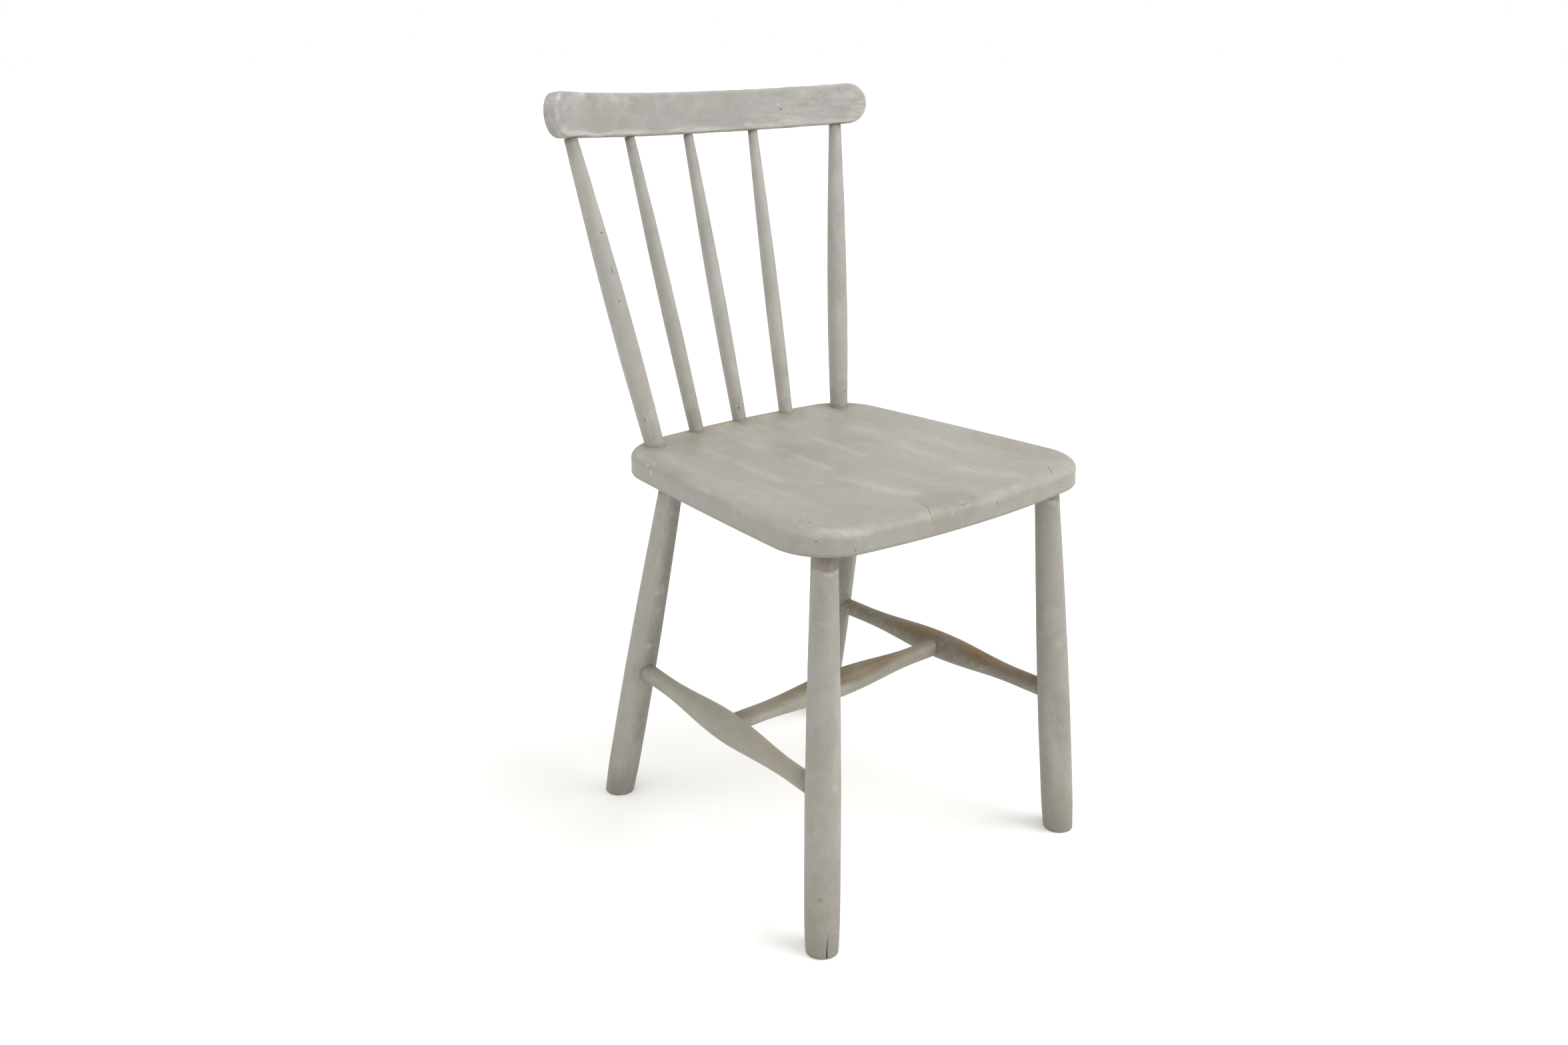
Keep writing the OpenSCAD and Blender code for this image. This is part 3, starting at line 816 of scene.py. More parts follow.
NICK_DEPTH_SHARE = 0.7                       # share of its given depth that a nick in the seat is cut at
SEAT_NICKS = [
    # place, radius, depth
    ((129, -202.5, 434), 1.3, 0.8), ((127, -227, 422), 0.9, 0.6), ((129, -227, 416.5), 1.0, 0.6),
    ((25, -235, 424), 1.0, 0.6), ((-168, -183.5, 434), 1.5, 0.7), ((-160, -172, 434), 0.9, 0.5),
    ((-171, -174, 434), 1.2, 0.6), ((-157, -135, 434), 0.9, 0.5), ((-178, -204.5, 424), 1.1, 0.6),
    ((-148, -223.5, 414), 1.1, 0.7),
]
RUBBED_CORNER = [np.array(place) for place in ((-172, -203, 432), (-155, -219, 430), (-135, -226, 427))]
SCRAPED_DOTS = [(-171.5, 69, 429), (-168, 62, 431), (-174, 60, 424)]


def edge_distance(points, outline):
    """Distance in plan from the edge of the seat."""
    distance = np.full(len(points), np.inf)
    for first in range(0, len(points), 4000):
        part = points[first:first + 4000, None, :2] - outline[None]
        distance[first:first + 4000] = np.sqrt((part ** 2).sum(axis=2).min(axis=1))
    return distance


def seat_rings():
    """Inset and height of each ring, from the underside round the edge to the top."""
    height = RIM - UNDERSIDE
    rings = [(inset, 0) for inset in np.linspace(SEAT_PATCH_INSET, 6, 14)]
    for turn in np.linspace(0, pi / 2, 6):
        rings.append((BOTTOM_ROUND * (1 - sin(turn)), BOTTOM_ROUND * (1 - cos(turn))))
    rings += [(0, level) for level in np.linspace(BOTTOM_ROUND, BAND, 9)[1:]]
    for turn in np.linspace(0, pi / 2, 14)[1:]:
        rings.append((ROUND_WIDTH * (1 - cos(turn)), BAND + (height - BAND) * sin(turn)))
    rings += [(inset, height) for inset in np.linspace(ROUND_WIDTH, SEAT_PATCH_INSET, 15)[1:]]
    return [(inset, UNDERSIDE + level) for inset, level in rings]


def make_seat():
    across = 2 * SEAT_FRONT_CELLS + SEAT_CORNER_CELLS
    points, faces = slab(ring_stack(seat_outline, seat_rings()), across, SEAT_SIDE_CELLS + SEAT_CORNER_CELLS)
    inside = edge_distance(points, seat_outline(0))
    top = points[:, 2] > RIM - 0.01
    dip = DISH * step(inside, DISH_START, DISH_REACH)
    hollow = 0.12 * (1.6 + wobble(points * [1, 0.35, 1], 22, 11)) + 0.25 * (1.6 + wobble(points, 90, 12))
    points[:, 2] -= np.where(top, dip + hollow * step(inside, ROUND_WIDTH, 30), 0)
    rim = step(inside, 8, 0) * step(points[:, 2], UNDERSIDE + 2, UNDERSIDE + 8)
    away = unit_rows(points[:, :2] - [0, SEAT_Y])
    worn = 0.16 * np.maximum(1.3 + wobble(points, 14, 13), 0) * rim
    points[:, :2] -= away * worn[:, None]
    item = new_mesh("seat_piece", points, faces, seat_paint)

    cutters = Cutters(item)
    for number, (path, width, depth, pale) in enumerate(SEAT_CRACKS):
        cutters.crack(path, width, depth, 40 + number, pale=pale)
    for place, radius, depth in SEAT_NICKS:
        cutters.nick(place, radius, NICK_DEPTH_SHARE * depth, 1.2)
    for leg in legs.values():
        cutters.bore(leg[1], leg, -BORE_RUN, LEG_SOCKET, LEG_TOP_RADIUS)
    for name, axis in uprights.items():
        cutters.bore(axis[0], axis, -BACK_SOCKET, BORE_RUN, radii_of(name)[0])
    cutters.cut()
    wear_seat(item)


def wear_seat(item):
    points = points_of(item)
    inside = edge_distance(points, seat_outline(0))
    x, y, z = points.T
    upper = step(z, RIM - 9, RIM - 7)
    chalk_and_highlight = np.zeros(len(points))
    for start, end, width, strength in SEAT_STREAKS:
        path = [np.array([*place, 0]) * [1, 0.45, 0] for place in (start, end)]
        away = path_distance(points * [1, 0.45, 0], path)
        chalk_and_highlight = most(chalk_and_highlight, 0.48 * strength * step(away, width * 2.8, 0))
    chalk_and_highlight *= upper
    chalk_and_highlight += 0.16 * upper * step(wobble(points * [1, 0.25, 1], 26, 14), 0.2, 1.6)
    # Painted sheen: the top grows paler towards the right front.
    chalk_and_highlight += 0.22 * upper * step(x, 40, 170) * step(y, 60, -60)
    chalk_and_highlight += 0.38 * step(path_distance(points, RUBBED_CORNER), 8, 0)
    rounded = hump(inside, 5, 7) * step(z, RIM - 9, RIM - 3)
    chalk_and_highlight += 0.26 * rounded * step(wobble(points, 30, 15), -0.4, 1.2)
    for place in SCRAPED_DOTS:
        chalk_and_highlight += 0.9 * step(norm(points - place, axis=1), 3.4, 1.2)

    behind = step(y, SEAT_BACK - 30, SEAT_BACK - 8) * step(z, RIM - 12, RIM - 7)
    back_right = norm((points - [150, SEAT_BACK - 22, RIM]) * [1, 1, 0.5], axis=1)
    bare = most(behind * (0.78 + 0.24 * wobble(points, 28, 16)) * step(np.abs(x), 150, 118),
                0.6 * step(back_right, 24, 6))
    grime_and_shade = 0.25 * behind * step(wobble(points, 22, 17), 0.1, 1.2)
    for name, (foot, head) in uprights.items():
        radius = radii_of(name)[0]
        _, away = off_axis(points, foot, unit(head - foot))
        grime_and_shade = most(grime_and_shade, upper * 0.55 * step(away, radius + 1.5, radius + 0.2),
                     upper * 0.22 * step(away, radius + 26 + 8 * wobble(points, 20, 19), radius))
        bare = most(bare, upper * 0.47 * step(away, radius + 14 + 4 * wobble(points, 12, 18), radius + 2))
    stain = wobble(points * [1, 0.6, 1], 45, 20)
    # Stains, and the top grows a little darker towards the back left.
    grime_and_shade = most(grime_and_shade, 0.15 * step(stain, 0.5, 1.7)) + 0.05 * upper * step(x - y, 60, -200)
    under = step(z, UNDERSIDE + 3, UNDERSIDE)
    grime_and_shade = most(grime_and_shade, under * (0.30 + 0.10 * wobble(points * [1, 0.4, 1], 40, 21)),
                 0.25 * hump(z, UNDERSIDE + 1.5, 3) * (1 - under))
    bare = most(bare, under * (0.26 + 0.20 * wobble(points * [1, 0.15, 1], 18, 22)))
    hand_over(item, np.column_stack([x, z, y]), chalk_and_highlight, grime_and_shade, bare)


# ---- Crest rail ----

CREST_CELLS = 190
CREST_END_CELLS = 36
CREST_NICKS = [((114, 198, 768), 1.2, 0.8), ((-60, 208, 760), 0.8, 0.5), ((176, 168, 789), 0.9, 0.5)]


def crest_outline(inset):
    """Points around the straight board (along, up), counterclockwise seen from the front."""
    straight = CREST_LENGTH / 2 - CREST_HEIGHT / 2
    radius = CREST_HEIGHT / 2 - inset
    middle = CREST_HEIGHT / 2
    share = np.arange(CREST_CELLS) / CREST_CELLS
    low = np.column_stack([-straight + 2 * straight * share, np.full(CREST_CELLS, middle - radius)])
    right = arc(np.array([straight, middle]), radius, -pi / 2, pi / 2, CREST_END_CELLS)
    high = np.column_stack([straight - 2 * straight * share, np.full(CREST_CELLS, middle + radius)])
    left = arc(np.array([-straight, middle]), radius, pi / 2, 3 * pi / 2, CREST_END_CELLS)
    return np.vstack([low, right, high, left])


def crest_flat(points):
    """Undoes crest_place: points as along, up and forward on the straight board."""
    x, y, z = (points - crest_middle).T
    flat_y = y * cos(CREST_LEAN) - z * sin(CREST_LEAN)
    up = y * sin(CREST_LEAN) + z * cos(CREST_LEAN)
    turn = np.arctan2(x, flat_y + CREST_BEND)
    return turn * CREST_BEND, up, CREST_BEND - np.hypot(x, flat_y + CREST_BEND)


def crest_rings():
    """Inset and level of each ring, from the back of the board round its edge to the front."""
    half = CREST_THICKNESS / 2
    turns = np.linspace(0, pi / 2, 6)
    insets = np.linspace(12, 4, 5)
    rings = [(inset, -half) for inset in insets]
    rings += [(CREST_ROUND * (1 - sin(a)), CREST_ROUND * (1 - cos(a)) - half) for a in turns]
    rings += [(0, level) for level in np.linspace(CREST_ROUND - half, half - CREST_ROUND, 7)[1:]]
    rings += [(CREST_ROUND * (1 - cos(a)), half - CREST_ROUND * (1 - sin(a))) for a in turns[1:]]
    return rings + [(inset, half) for inset in insets[::-1]]


def make_crest():
    flat, faces = slab(ring_stack(crest_outline, crest_rings()), CREST_CELLS, CREST_END_CELLS)
    along, up, forward = flat.T
    uneven = 0.10 * (1.6 + wobble(flat * [0.3, 1, 1], 16, 31))
    forward = forward - np.sign(forward) * uneven * step(np.abs(forward), 5, 8)
    edge = 0.06 + 0.12 * np.maximum(1.3 + wobble(flat, 13, 32), 0)
    up = up - np.sign(up - CREST_HEIGHT / 2) * edge * step(np.abs(up - CREST_HEIGHT / 2), 17, 22)
    item = new_mesh("crest_rail_piece", crest_place(along, up, forward), faces, crest_paint)

    cutters = Cutters(item)
    for place, radius, depth in CREST_NICKS:
        cutters.nick(place, radius, depth, 1.2, (0.9, 0.1, 0.3))
    for name, axis in uprights.items():
        cutters.bore(axis[1], axis, -BORE_RUN, CREST_SOCKET, radii_of(name)[3])
    cutters.cut()
    wear_crest(item)


def wear_crest(item):
    points = points_of(item)
    along, up, forward = crest_flat(points)
    board = np.column_stack([along, up, forward])
    front = step(forward, 4, 7)
    back = step(forward, -4, -7)
    under = step(up, 1.2, 0.2)
    ends = step(np.abs(along), 208, 221)
    rough = wobble(board * [0.45, 1, 1], 13, 33)
    low_edge = step(up, 6.8 + 2.6 * rough, 2) * step(forward, -2, 5)
    places = step(wobble(board * [1, 0, 0], 38, 34), -0.5, 0.9)
    chalk_and_highlight = low_edge * (0.4 + 1.1 * places)
    chalk_and_highlight += 0.8 * low_edge * (hump(along, 20, 45) + hump(along, 165, 45) + hump(along, -185, 60))
    chalk_and_highlight += 0.5 * front * step(up, 26, 39) * step(along, 30, -110) * step(rough, -0.1, 1.0)
    patches = step(wobble(board * [0.6, 0.9, 1], 6, 40), 0.1, 1.2)
    chalk_and_highlight += 0.36 * front * patches * step(up, 18, 36) * step(along, 40, -60)
    chalk_and_highlight += 0.58 * front * step(along, 40, 150)
    chalk_and_highlight += 0.12 * front * step(wobble(board * [0.3, 1, 1], 10, 35), 0.4, 1.6)
    chalk_and_highlight += 0.55 * ends * step(wobble(board, 12, 36), -0.4, 1.2)
    end_edge = hump(forward, 6.8, 2.2) * step(np.abs(along), 196, 208)
    chalk_and_highlight += 0.7 * end_edge * step(wobble(board, 9, 42), -0.6, 0.8)
    chalk_and_highlight += 0.22 * step(up, 41, 45)
    chalk_and_highlight += 0.22 * back * step(wobble(board * [0.35, 1, 1], 13, 41), 0.1, 1.3)
    chalk_and_highlight += 0.30 * back * hump(up, 3, 5) * places
    bare = 0.62 * step(up, 3.2, 1.2) * step(forward, 1, 6) * (0.5 + 0.5 * step(rough, -0.4, 0.6))
    bare += 0.20 * ends * step(wobble(board, 16, 37), 0.2, 1.5)
    grime_and_shade = most(0.10 * step(wobble(board * [0.5, 1, 1], 30, 38), 0.4, 1.8),
                 0.04 * ends * step(forward, 5.5, 3),
                 0.20 * step(forward, -6, -8) * step(wobble(board, 35, 39), -0.3, 1.4),
                 0.28 * under * step(forward, 5, 1))
    for name, (_, head) in uprights.items():
        radius = radii_of(name)[2]
        away = norm(points - head, axis=1)
        grime_and_shade = most(grime_and_shade, 0.85 * under * step(away, radius + 4.5, radius + 0.5))
    hand_over(item, np.column_stack([up, forward, along]), chalk_and_highlight, grime_and_shade, bare)


# ---- Posts and spindles ----

def upright_shape(name):
    foot, greatest, top, _ = radii_of(name)
    axis = uprights[name]
    length = norm(axis[1] - axis[0])

    def radius(station):
        thick = length * SWELL_AT
        below = np.clip((station - PLAIN_FOOT) / (thick - PLAIN_FOOT), 0, 1)
        above = np.clip((station - thick) / (length - thick), 0, 1)
        lower = greatest - (greatest - foot) * (1 - below) ** 2
        upper = greatest - (greatest - top) * above ** 1.8
        return np.where(station < thick, lower, upper)

    return Turned(axis, X, radius)


UPRIGHT_MARKS = {
    # station, heading in degrees, radius, depth, stretch of nicks
    "post_left": [(228, -91, 1.2, 0.6, 1.3), (157, -101, 1.0, 0.3, 1.3), (30, -140, 1.2, 0.6, 1.0),
                  (92, 70, 0.8, 0.4, 1.0)],
    "spindle_left": [(150, 80, 0.7, 0.4, 1.5)],
    "spindle_middle": [(14, -118, 1.5, 0.6, 1.2), (19, -110, 0.8, 0.4, 1.0), (205, 95, 0.6, 0.4, 1.5)],
    "spindle_right": [(110, 90, 0.7, 0.4, 1.5)],
    "post_right": [(17, -89, 1.4, 0.4, 1.4), (9, -97, 0.7, 0.3, 1.0)],
}
POST_SLITS = [((193, -93), (187, -94)), ((188, -97), (185, -97.5))]     # station and heading of both ends
UPRIGHT_FADE = {"spindle_left": -0.06, "spindle_right": 0.16}     # paler above 0, darker below
UPRIGHT_SEGMENTS = 64


def make_upright(name, seed):
    shape = upright_shape(name)
    headings = all_round(UPRIGHT_SEGMENTS)
    normal = unit(crest_place(np.array(0.0), np.array(1.0), np.array(0.0)) - crest_middle)
    shoulder_place = crest_middle - normal * SHOULDER_GAP
    high = shape.meets(headings, shoulder_place, normal)
    side = turned_rings(shape, END_GAP - BACK_SOCKET, high, UPRIGHT_SEGMENTS, seed)
    tenon = shape.outwards(headings) * radii_of(name)[3]
    lift = ((shoulder_place - shape.start) @ normal - tenon @ normal) / (shape.along @ normal)
    shoulder = shape.start + lift[:, None] * shape.along + tenon
    low_end = shape.start + shape.along * (END_GAP - BACK_SOCKET)
    high_end = shape.start + shape.along * (shape.length + CREST_SOCKET - END_GAP)
    points, faces = close_ends([*side, shoulder, high_end + tenon], low_end, high_end)
    material = post_paint if name.startswith("post") else spindle_paint
    item = new_mesh(name + "_piece", points, faces, material)

    cutters = Cutters(item)
    cutters.nicks(shape, UPRIGHT_MARKS[name])
    if name == "post_left":
        for number, ends in enumerate(POST_SLITS):
            cutters.crack([shape.spot(*end) for end in ends], 0.8, 0.9, seed + 7 + number, jitter=0.05)
    cutters.cut()
    wear_upright(item, name, shape, seed)


def wear_upright(item, name, shape, seed):
    points = points_of(item)
    local, heading = shape.local(points)
    station = local[:, 2]
    chalk_and_highlight = 0.30 * step(wobble(local * [1, 1, 0.3], 14, seed + 2), 0.3, 1.6)
    # Painted sheen: a pale stripe down the front right side of each upright, the side the key light falls on.
    streak = hump(np.degrees(heading), -58, 16) * step(wobble(local * [0, 0, 1], 30, seed + 3), -1, 0.6)
    fade = UPRIGHT_FADE.get(name, 0)
    chalk_and_highlight += 0.35 * streak + max(fade, 0)
    if name == "post_right":
        chalk_and_highlight += 0.7 * hump(station, shape.length - 14, 16) * hump(np.degrees(heading), -100, 50)
    ragged = wobble(local, 7, seed + 4)
    grime_and_shade = most(0.5 * step(station, 1.9 + 0.7 * ragged, 0.2),
                 0.20 * step(station, 40 + 10 * ragged, 4),
                 # Darker at the very top: dirt in the joint with the crest, and painted shade from the crest
                 # above.
                 0.65 * step(station, shape.length - 8, shape.length - 1.5),
                 0.13 * step(wobble(local * [1, 1, 0.5], 24, seed + 5), 0.4, 1.7),
                 # Painted shade under the crest, reaching some 34 mm down the upright.
                 0.22 * step(station, shape.length - 34 + 8 * ragged, shape.length - 4))
    grime_and_shade += max(-fade, 0)
    bare = 0.22 * step(station, 9 + 3 * ragged, 2) * step(wobble(local, 9, seed + 6), -0.2, 1.0)
    for place, turn, radius, _, _ in UPRIGHT_MARKS[name]:
        away = norm(points - shape.spot(place, turn), axis=1)
        bare = most(bare, 0.35 * step(away, 1.7 * radius, 0.6 * radius))
    hand_over(item, local, chalk_and_highlight, grime_and_shade, bare)


# ---- Legs ----

def leg_shape(axis):
    length = norm(axis[1] - axis[0])

    def radius(station):
        low = LEG_RADIUS - (LEG_RADIUS - LEG_FOOT_RADIUS) * (1 - np.clip(station / LEG_FOOT_TAPER, 0, 1)) ** 2
        run = length - LEG_PLAIN_TOP - LEG_THINNING_START
        share = np.clip((station - LEG_THINNING_START) / run, 0, 1)
        return np.minimum(low, LEG_RADIUS - (LEG_RADIUS - LEG_TOP_RADIUS) * share ** LEG_THINNING)

    return Turned(axis, X, radius)


LEG_NICKS = {
    # station, heading in degrees, radius, depth, stretch
    ("front", "left"): [(214, 75, 0.8, 0.4, 1.5)],
    ("front", "right"): [(250, 40, 0.8, 0.4, 1.2)],
    ("back", "left"): [(240, 178, 0.9, 0.4, 1.5), (208, 125, 0.8, 0.4, 1.0)],
    ("back", "right"): [(150, -100, 0.9, 0.4, 1.2), (320, -60, 0.9, 0.4, 1.2)],
}
LEG_SMUDGES = {
    # station, heading in degrees, radius, strength: dark above 0, pale below
    ("front", "left"): [(64, -138, 4, 0.4), (14, -150, 5, 0.3), (180, -80, 5, -0.4), (340, -130, 6, -0.3)],
    ("front", "right"): [(90, -120, 4, 0.3), (230, -110, 6, -0.4), (40, -90, 5, 0.3)],
    ("back", "left"): [(286, -100, 8, -1.0), (262, -95, 7, -0.9), (240, -100, 8, -0.8), (215, -110, 7, -0.7),
                       (190, -120, 5, -0.5), (120, -90, 5, 0.25), (66, -128, 5, 0.15)],
    ("back", "right"): [(200, -90, 6, -0.5), (80, -110, 6, 0.3)],
}
LEG_SCRATCHES = {
    # stations and headings in degrees from end to end
    ("front", "left"): [((104, -158), (99, -146)), ((118, -112), (109, -108)), ((84, -150), (78, -145))],
    ("front", "right"): [((140, -130), (128, -112)), ((60, -100), (54, -92))],
    ("back", "left"): [((256, -105), (262, -92)), ((140, -130), (131, -118))],
    ("back", "right"): [((90, -100), (84, -80))],
}
LEG_SEGMENTS = 80
SPLIT = [
    # height above the floor, heading in degrees, opening, depth
    (-3, -114.5, 2.2, 12), (4, -114, 1.8, 10.5), (9, -114.6, 1.45, 8.5), (14, -113, 1.15, 6.5),
    (19, -112.6, 0.9, 4.5), (24, -111.2, 0.65, 3), (30, -110.4, 0.2, 1.0),
]
BAND_HEIGHT = 386.5                          # lower edge of the brown band under the seat
BAND_TILT = radians(-130)                    # heading where that edge is highest
# Strength of the painted shade on the side of each leg that faces the middle of the chair, under the seat;
# strongest on the back legs.
INWARD_SHADE = {("front", "left"): 0.22, ("front", "right"): 0.22, ("back", "left"): 0.32, ("back", "right"): 0.45}
# How much darker each leg grows towards its foot, over its lowest 90 mm.
FOOT_DARKENING = {"front": 0.34, "back": 0.44}


def leg_foot(shape, first, worn):
    """Rings of a foot: a flat underside, then a rounded edge up to the first ring of the side."""
    centre = shape.start
    inwards = unit_rows((centre - first) * [1, 1, 0])
    edge = []
    for turn in np.linspace(pi / 2, 0, 5)[:-1]:
        ring = first + inwards * (worn * (1 - cos(turn)))[:, None]
        ring[:, 2] = worn * (1 - sin(turn))
        edge.append(ring)
    underside = []
    for share in (0.35, 0.7):
        ring = centre + (edge[0] - centre) * share
        ring[:, 2] = 0.15 * (1 - share)
        underside.append(ring)
    return [*underside, *edge]


def make_leg(end, side, seed):
    shape = leg_shape(legs[end, side])
    headings = all_round(LEG_SEGMENTS)
    worn = 2.1 + 0.8 * np.clip(wobble(shape.outwards(headings) * LEG_RADIUS, 14, seed), -1, 1.5)
    low = shape.meets(headings, np.outer(worn, Z), Z)
    top = shape.length + LEG_SOCKET - END_GAP
    rings = turned_rings(shape, low, top, LEG_SEGMENTS, seed + 1)
    underside_middle = shape.start + np.array([0, 0, 0.2])
    points, faces = close_ends([*leg_foot(shape, rings[0], worn), *rings], underside_middle,
                               shape.start + shape.along * top)
    item = new_mesh(f"leg_{end}_{side}_piece", points, faces, leg_paint)

    cutters = Cutters(item)
    stretcher = side_axes[side] if end == "front" else side_axes[side][::-1]
    height = STRETCHER_FRONT if end == "front" else STRETCHER_BACK
    bottom = shape.radius(np.array(height)) - SIDE_SOCKET
    cutters.bore(stretcher[0], stretcher, bottom, LEG_RADIUS + BORE_RUN, STRETCHER_END_RADIUS)
    cutters.nicks(shape, LEG_NICKS[end, side])
    for number, ends in enumerate(LEG_SCRATCHES[end, side]):
        path = [shape.spot(*place) for place in ends]
        cutters.crack(path, 0.6, 0.3, seed + 20 + number, jitter=0.1, pale=True)
    if (end, side) == ("front", "left"):
        stops = [(shape.spot(height / shape.along[2], heading),
                  shape.outwards(np.array(radians(heading))), opening, depth)
                 for height, heading, opening, depth in SPLIT]
        cutters.wedge(stops)
    cutters.cut()
    wear_leg(item, end, side, shape, stretcher, seed)


def wear_leg(item, end, side, shape, stretcher, seed):
    points = points_of(item)
    local, heading = shape.local(points)
    z = points[:, 2]
    degrees = np.degrees(heading)
    ragged = wobble(local, 9, seed + 2)
    border = BAND_HEIGHT + 3.5 * np.cos(heading - BAND_TILT) + 0.5 * ragged
    border += 1.1 * wobble(local * [1, 1, 0], 12, seed + 3)
    band = step(z, border - 1.0, border + 1.4)
    chalk_and_highlight = 0.75 * hump(z, border - 2.2, 3.6) * step(wobble(local * [1, 1, 0], 7, seed + 4), -0.8, 0.8)
    chalk_and_highlight += 0.26 * step(wobble(local * [1, 1, 0.3], 16, seed + 5), 0.3, 1.6)
    if end == "back":
        worn_side = hump(degrees, -100, 50) * step(wobble(local * [1, 1, 0.5], 20, seed + 6), -0.4, 1.2)
        chalk_and_highlight += 0.42 * worn_side * step(z, 110, 220) + 0.22 * hump(degrees, -140, 60)
    bare = most(band * (0.70 + 0.10 * ragged), 0.5 * step(z, 5 + 2 * ragged, 0.5))
    inwards = unit(np.array([-shape.start[0], -shape.start[1], 0.0]))
    # How much each point faces the middle of the chair: that side gets painted shade below.
    inward_facing = shape.outwards(heading) @ inwards + 0.15 * wobble(local * [1, 1, 0.4], 24, seed + 10)
    along, away = off_axis(points, stretcher[0], unit(stretcher[1] - stretcher[0]))
    facing = step(along, 4, 10)
    rim = STRETCHER_END_RADIUS
    grime_and_shade = most(band * (0.18 + 0.06 * ragged),
                 # Painted shade on the side of the leg that faces the middle of the chair.
                 INWARD_SHADE[end, side] * step(inward_facing, 0.1, 0.85),
                 # Darker towards the bottom of the leg.
                 FOOT_DARKENING[end] * step(z, 90 + 18 * wobble(local, 26, seed + 7), 0),
                 # A dark rim at the bottom of the foot: dirt on the worn foot, and a painted contact shadow
                 # where it stands on the floor.
                 0.55 * step(z, 6 + 2.5 * ragged, 0.5),
                 0.15 * step(wobble(local * [1, 1, 0.4], 30, seed + 8), 0.4, 1.7),
                 0.42 * facing * step(away, rim + 4.5 + ragged, rim + 0.2),
                 0.22 * facing * step(away, rim + 22, rim))
    for station, turn, radius, strength in LEG_SMUDGES[end, side]:
        reach = radius * (1.1 + 0.35 * ragged + 0.2 * wobble(local, 4, seed + 9))
        distance = norm(points - shape.spot(station, turn), axis=1)
        smudge = abs(strength) * step(distance, reach, 0.2 * reach)
        if strength > 0:
            grime_and_shade = most(grime_and_shade, smudge)
        else:
            chalk_and_highlight = most(chalk_and_highlight, smudge)
    hand_over(item, local, chalk_and_highlight, grime_and_shade, bare)


# ---- Stretchers ----

def stretcher_shape(axis, share):
    length = norm(axis[1] - axis[0])

    def radius(station):
        away = np.minimum(np.abs(station - length * share) / SWELL_REACH, 1)
        swell = np.cos(pi / 2 * away) ** 2
        return STRETCHER_END_RADIUS + (STRETCHER_RADIUS - STRETCHER_END_RADIUS) * swell

    return Turned(axis, Z, radius)


STRETCHER_SEGMENTS = 64
STRETCHER_NICKS = 2


def make_stretcher(name, axis, share, first, last, wear, dirt, seed):
    shape = stretcher_shape(axis, share)
    rings = turned_rings(shape, first, shape.length - last, STRETCHER_SEGMENTS, seed)
    points, faces = close_ends(list(rings), shape.start + shape.along * first, shape.end - shape.along * last)
    item = new_mesh(name + "_piece", points, faces, stretcher_paint)
    cutters = Cutters(item)
    marks = np.random.default_rng(seed + 1)
    for _ in range(STRETCHER_NICKS):
        station = shape.length * marks.uniform(0.15, 0.85)
        heading = marks.uniform(-2.2, 2.2)
        place = shape.surface(np.array(station), np.array(heading))
        cutters.nick(place, marks.uniform(0.7, 1.1), 0.4, marks.uniform(1.0, 2.2), shape.along)
    cross = None
    if name != "stretcher_cross":
        cross = cross_axis if name == "stretcher_left" else cross_axis[::-1]
        bottom = STRETCHER_RADIUS - CROSS_SOCKET
        cutters.bore(cross[0], cross, bottom, STRETCHER_RADIUS + BORE_RUN, STRETCHER_END_RADIUS)
    cutters.cut()
    wear_stretcher(item, shape, share, cross, wear, dirt, seed)


def wear_stretcher(item, shape, share, cross, wear, dirt, seed):
    """Masks of a side stretcher, or of the cross stretcher where cross is None."""
    points = points_of(item)
    local, heading = shape.local(points)
    station = local[:, 2]
    upwards = np.cos(heading)
    ragged = wobble(local * [1, 1, 0.35], 16, seed + 2)
    right_half = step(station, shape.length * 0.4, shape.length * 0.6)
    worn_from = -0.25 if cross else 0.05 - 0.3 * right_half
    bare = wear * step(upwards + 0.22 * ragged, worn_from, 0.9)
    bare *= 0.78 + 0.16 * wobble(local, 40, seed + 3)
    bare *= 0.75 + 0.25 * hump(station, shape.length * share, shape.length * 0.42)
    chalk_and_highlight = 0.30 * step(wobble(local * [1, 1, 0.3], 14, seed + 4), 0.3, 1.6) * step(upwards, 0.4, -0.2)
    ends = np.minimum(station, shape.length - station) - (LEG_RADIUS if cross else STRETCHER_RADIUS)
    grime_and_shade = most(0.20 * step(wobble(local * [1, 1, 0.4], 26, seed + 5), -0.2, 1.6),
                 0.5 * step(ends, 5 + 2 * ragged, 0),
                 0.3 * step(ends, 30, 4),
                 dirt * (0.6 + 0.4 * step(upwards, -0.6, 0.9)))
    if cross:
        along, away = off_axis(points, cross[0], unit(cross[1] - cross[0]))
        grime_and_shade = most(grime_and_shade, 0.35 * step(along, 3, 8) * step(away, 14 + ragged, 10))
    else:
        bare *= 0.75 + 0.25 * step(station, shape.length * 0.38, shape.length * 0.62)
        # Painted highlight: the left part of the cross stretcher is made paler on its sides and underside,
        # which the lamps leave darker.
        left_part = step(station, shape.length * 0.62, shape.length * 0.42)
        chalk_and_highlight += 0.45 * step(upwards, 0.7, 0.1) * left_part
    hand_over(item, local, chalk_and_highlight, grime_and_shade, bare)


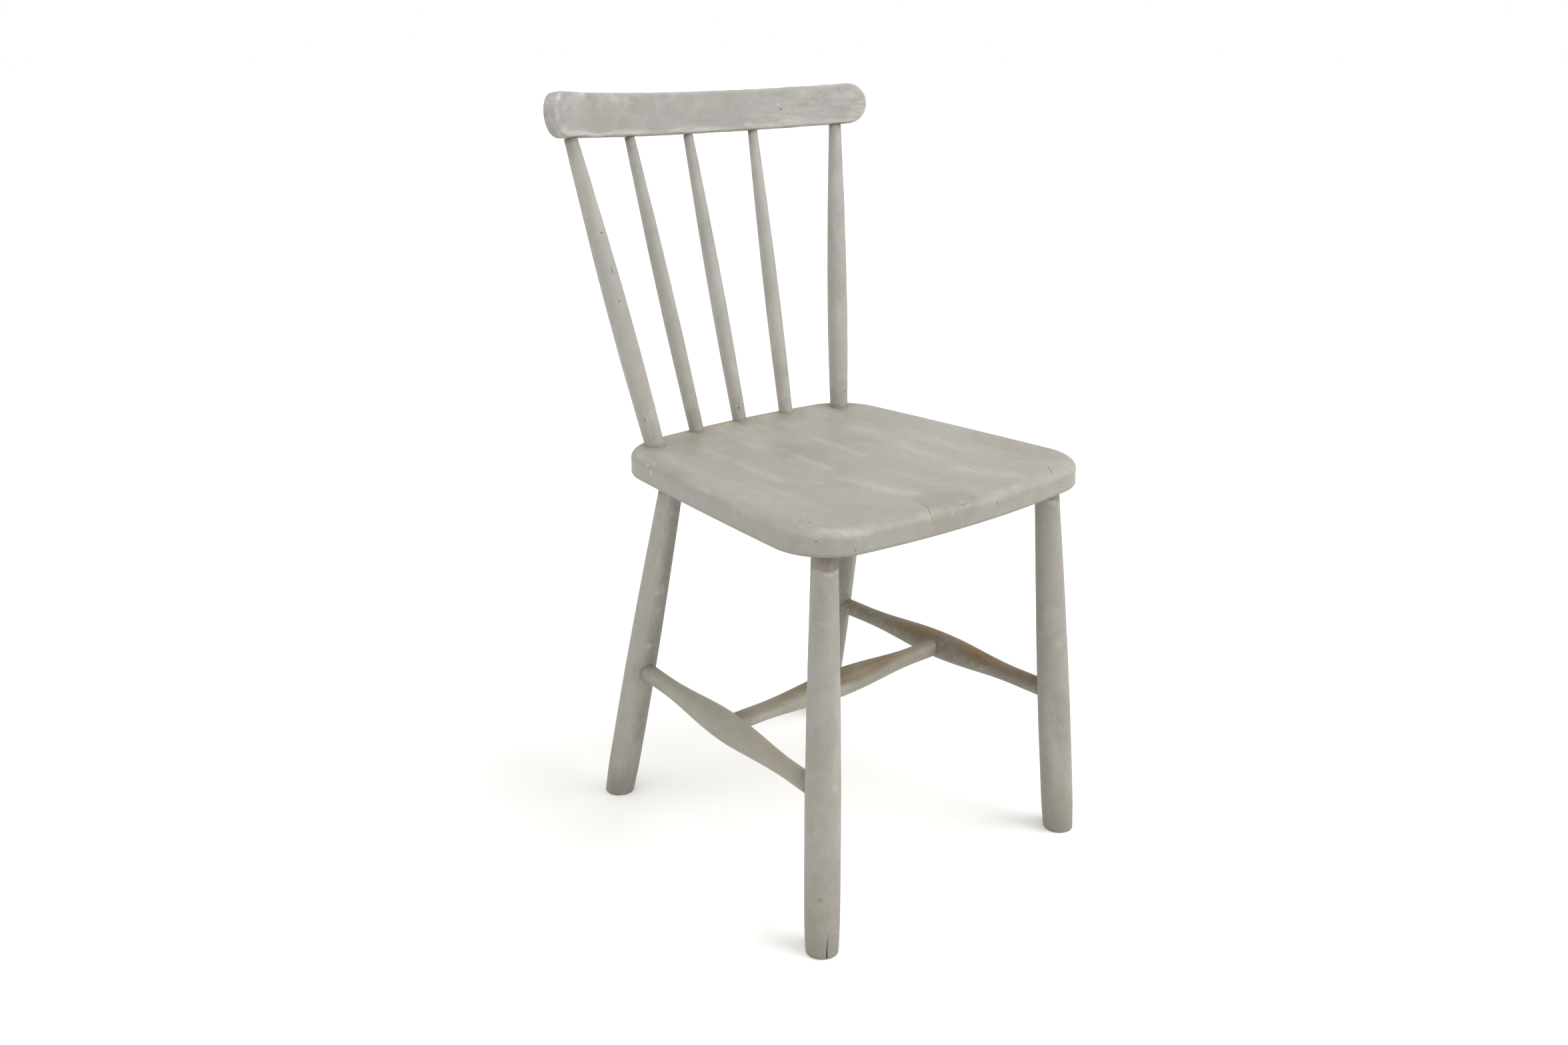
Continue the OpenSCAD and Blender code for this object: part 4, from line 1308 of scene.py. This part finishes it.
make_seat()
make_crest()
for number, name in enumerate(uprights):
    make_upright(name, 100 + 20 * number)
for number, (end, side) in enumerate(legs):
    make_leg(end, side, 300 + 40 * number)
for side, wear, dirt, seed in (("left", 0.24, 0.04, 500), ("right", 0.95, 0.70, 540)):
    front = leg_shape(legs["front", side])
    back = leg_shape(legs["back", side])
    first = front.radius(np.array(STRETCHER_FRONT)) - SIDE_SOCKET + END_GAP
    last = back.radius(np.array(STRETCHER_BACK)) - SIDE_SOCKET + END_GAP
    make_stretcher("stretcher_" + side, side_axes[side], CROSS_SHARE, first, last, wear, dirt, seed)
cross_end = STRETCHER_RADIUS - CROSS_SOCKET + END_GAP
make_stretcher("stretcher_cross", cross_axis, 0.5, cross_end, cross_end, 0.98, 0.07, 580)


# ---- Floor, light and camera ----

def seen(g):
    """1 where the camera sees the surface, directly, in a reflection or through glass, and 0 elsewhere."""
    path = g.nodes.new("ShaderNodeLightPath")
    direct = g.maths("MAXIMUM", path.outputs["Is Camera Ray"], path.outputs["Is Glossy Ray"])
    return g.maths("MAXIMUM", direct, path.outputs["Is Transmission Ray"])


FLOOR_SIZE = 40000
FLOOR_COLOUR = (0.75, 0.75, 0.75, 1)
FLOOR_SEEN_COLOUR = (1.32, 1.315, 1.295, 1)  # what the camera sees, so that the floor clears to white
WORLD_STRENGTH = 0.62
WHITE = (1, 1, 1, 1)

g = Graph(bpy.data.materials.new("floor"))
colour = g.mix(seen(g), FLOOR_COLOUR, FLOOR_SEEN_COLOUR)
floor_material = g.finish(g.add("ShaderNodeBsdfDiffuse", 0, {"Color": colour}))
floor_corners = [(x * FLOOR_SIZE, y * FLOOR_SIZE, 0) for x, y in ((-1, -1), (1, -1), (1, 1), (-1, 1))]
floor = new_mesh("floor", floor_corners, [(0, 1, 2, 3)], floor_material)

world = bpy.data.worlds.new("studio")
bpy.context.scene.world = world
g = Graph(world)
strength = g.between(seen(g), 0.0, 1.0, WORLD_STRENGTH, 1.0)
g.finish(g.add("ShaderNodeBackground", 0, {"Color": WHITE, "Strength": strength}), "ShaderNodeOutputWorld")


def softbox(name, energy, spread, towards):
    """A soft lamp far away in the direction given, with its apparent width in degrees."""
    lamp = bpy.data.lights.new(name, "SUN")
    lamp.energy = energy
    lamp.angle = radians(spread)
    item = bpy.data.objects.new(name, lamp)
    bpy.context.scene.collection.objects.link(item)
    item.rotation_euler = Vector(towards).to_track_quat("Z", "Y").to_euler()


softbox("key", energy=1.3, spread=45, towards=(0.55, -0.8, 0.9))
softbox("fill", energy=0.58, spread=90, towards=(-0.9, -0.3, 0.6))

CAMERA_PLACE = (-0.9244, -1.0651, 0.8426)    # in metres
LENS = 31.51
AZIMUTH = radians(-39.51)
ELEVATION = radians(19.38)
ROLL = radians(-0.14)
back = Vector((sin(AZIMUTH) * cos(ELEVATION), -cos(AZIMUTH) * cos(ELEVATION), sin(ELEVATION)))
right = Vector((0, 0, 1)).cross(back).normalized()
up = back.cross(right)
rolled_right = right * cos(ROLL) + up * sin(ROLL)
rolled_up = up * cos(ROLL) - right * sin(ROLL)
lens = bpy.data.cameras.new("camera")
lens.sensor_width = 36
lens.lens = LENS
lens.clip_end = 200
camera = bpy.data.objects.new("camera", lens)
bpy.context.scene.collection.objects.link(camera)
turn = Matrix((rolled_right, rolled_up, back)).transposed().to_4x4()
camera.matrix_world = Matrix.Translation(CAMERA_PLACE) @ turn
bpy.context.scene.camera = camera
bpy.context.scene.view_settings.view_transform = "Standard"
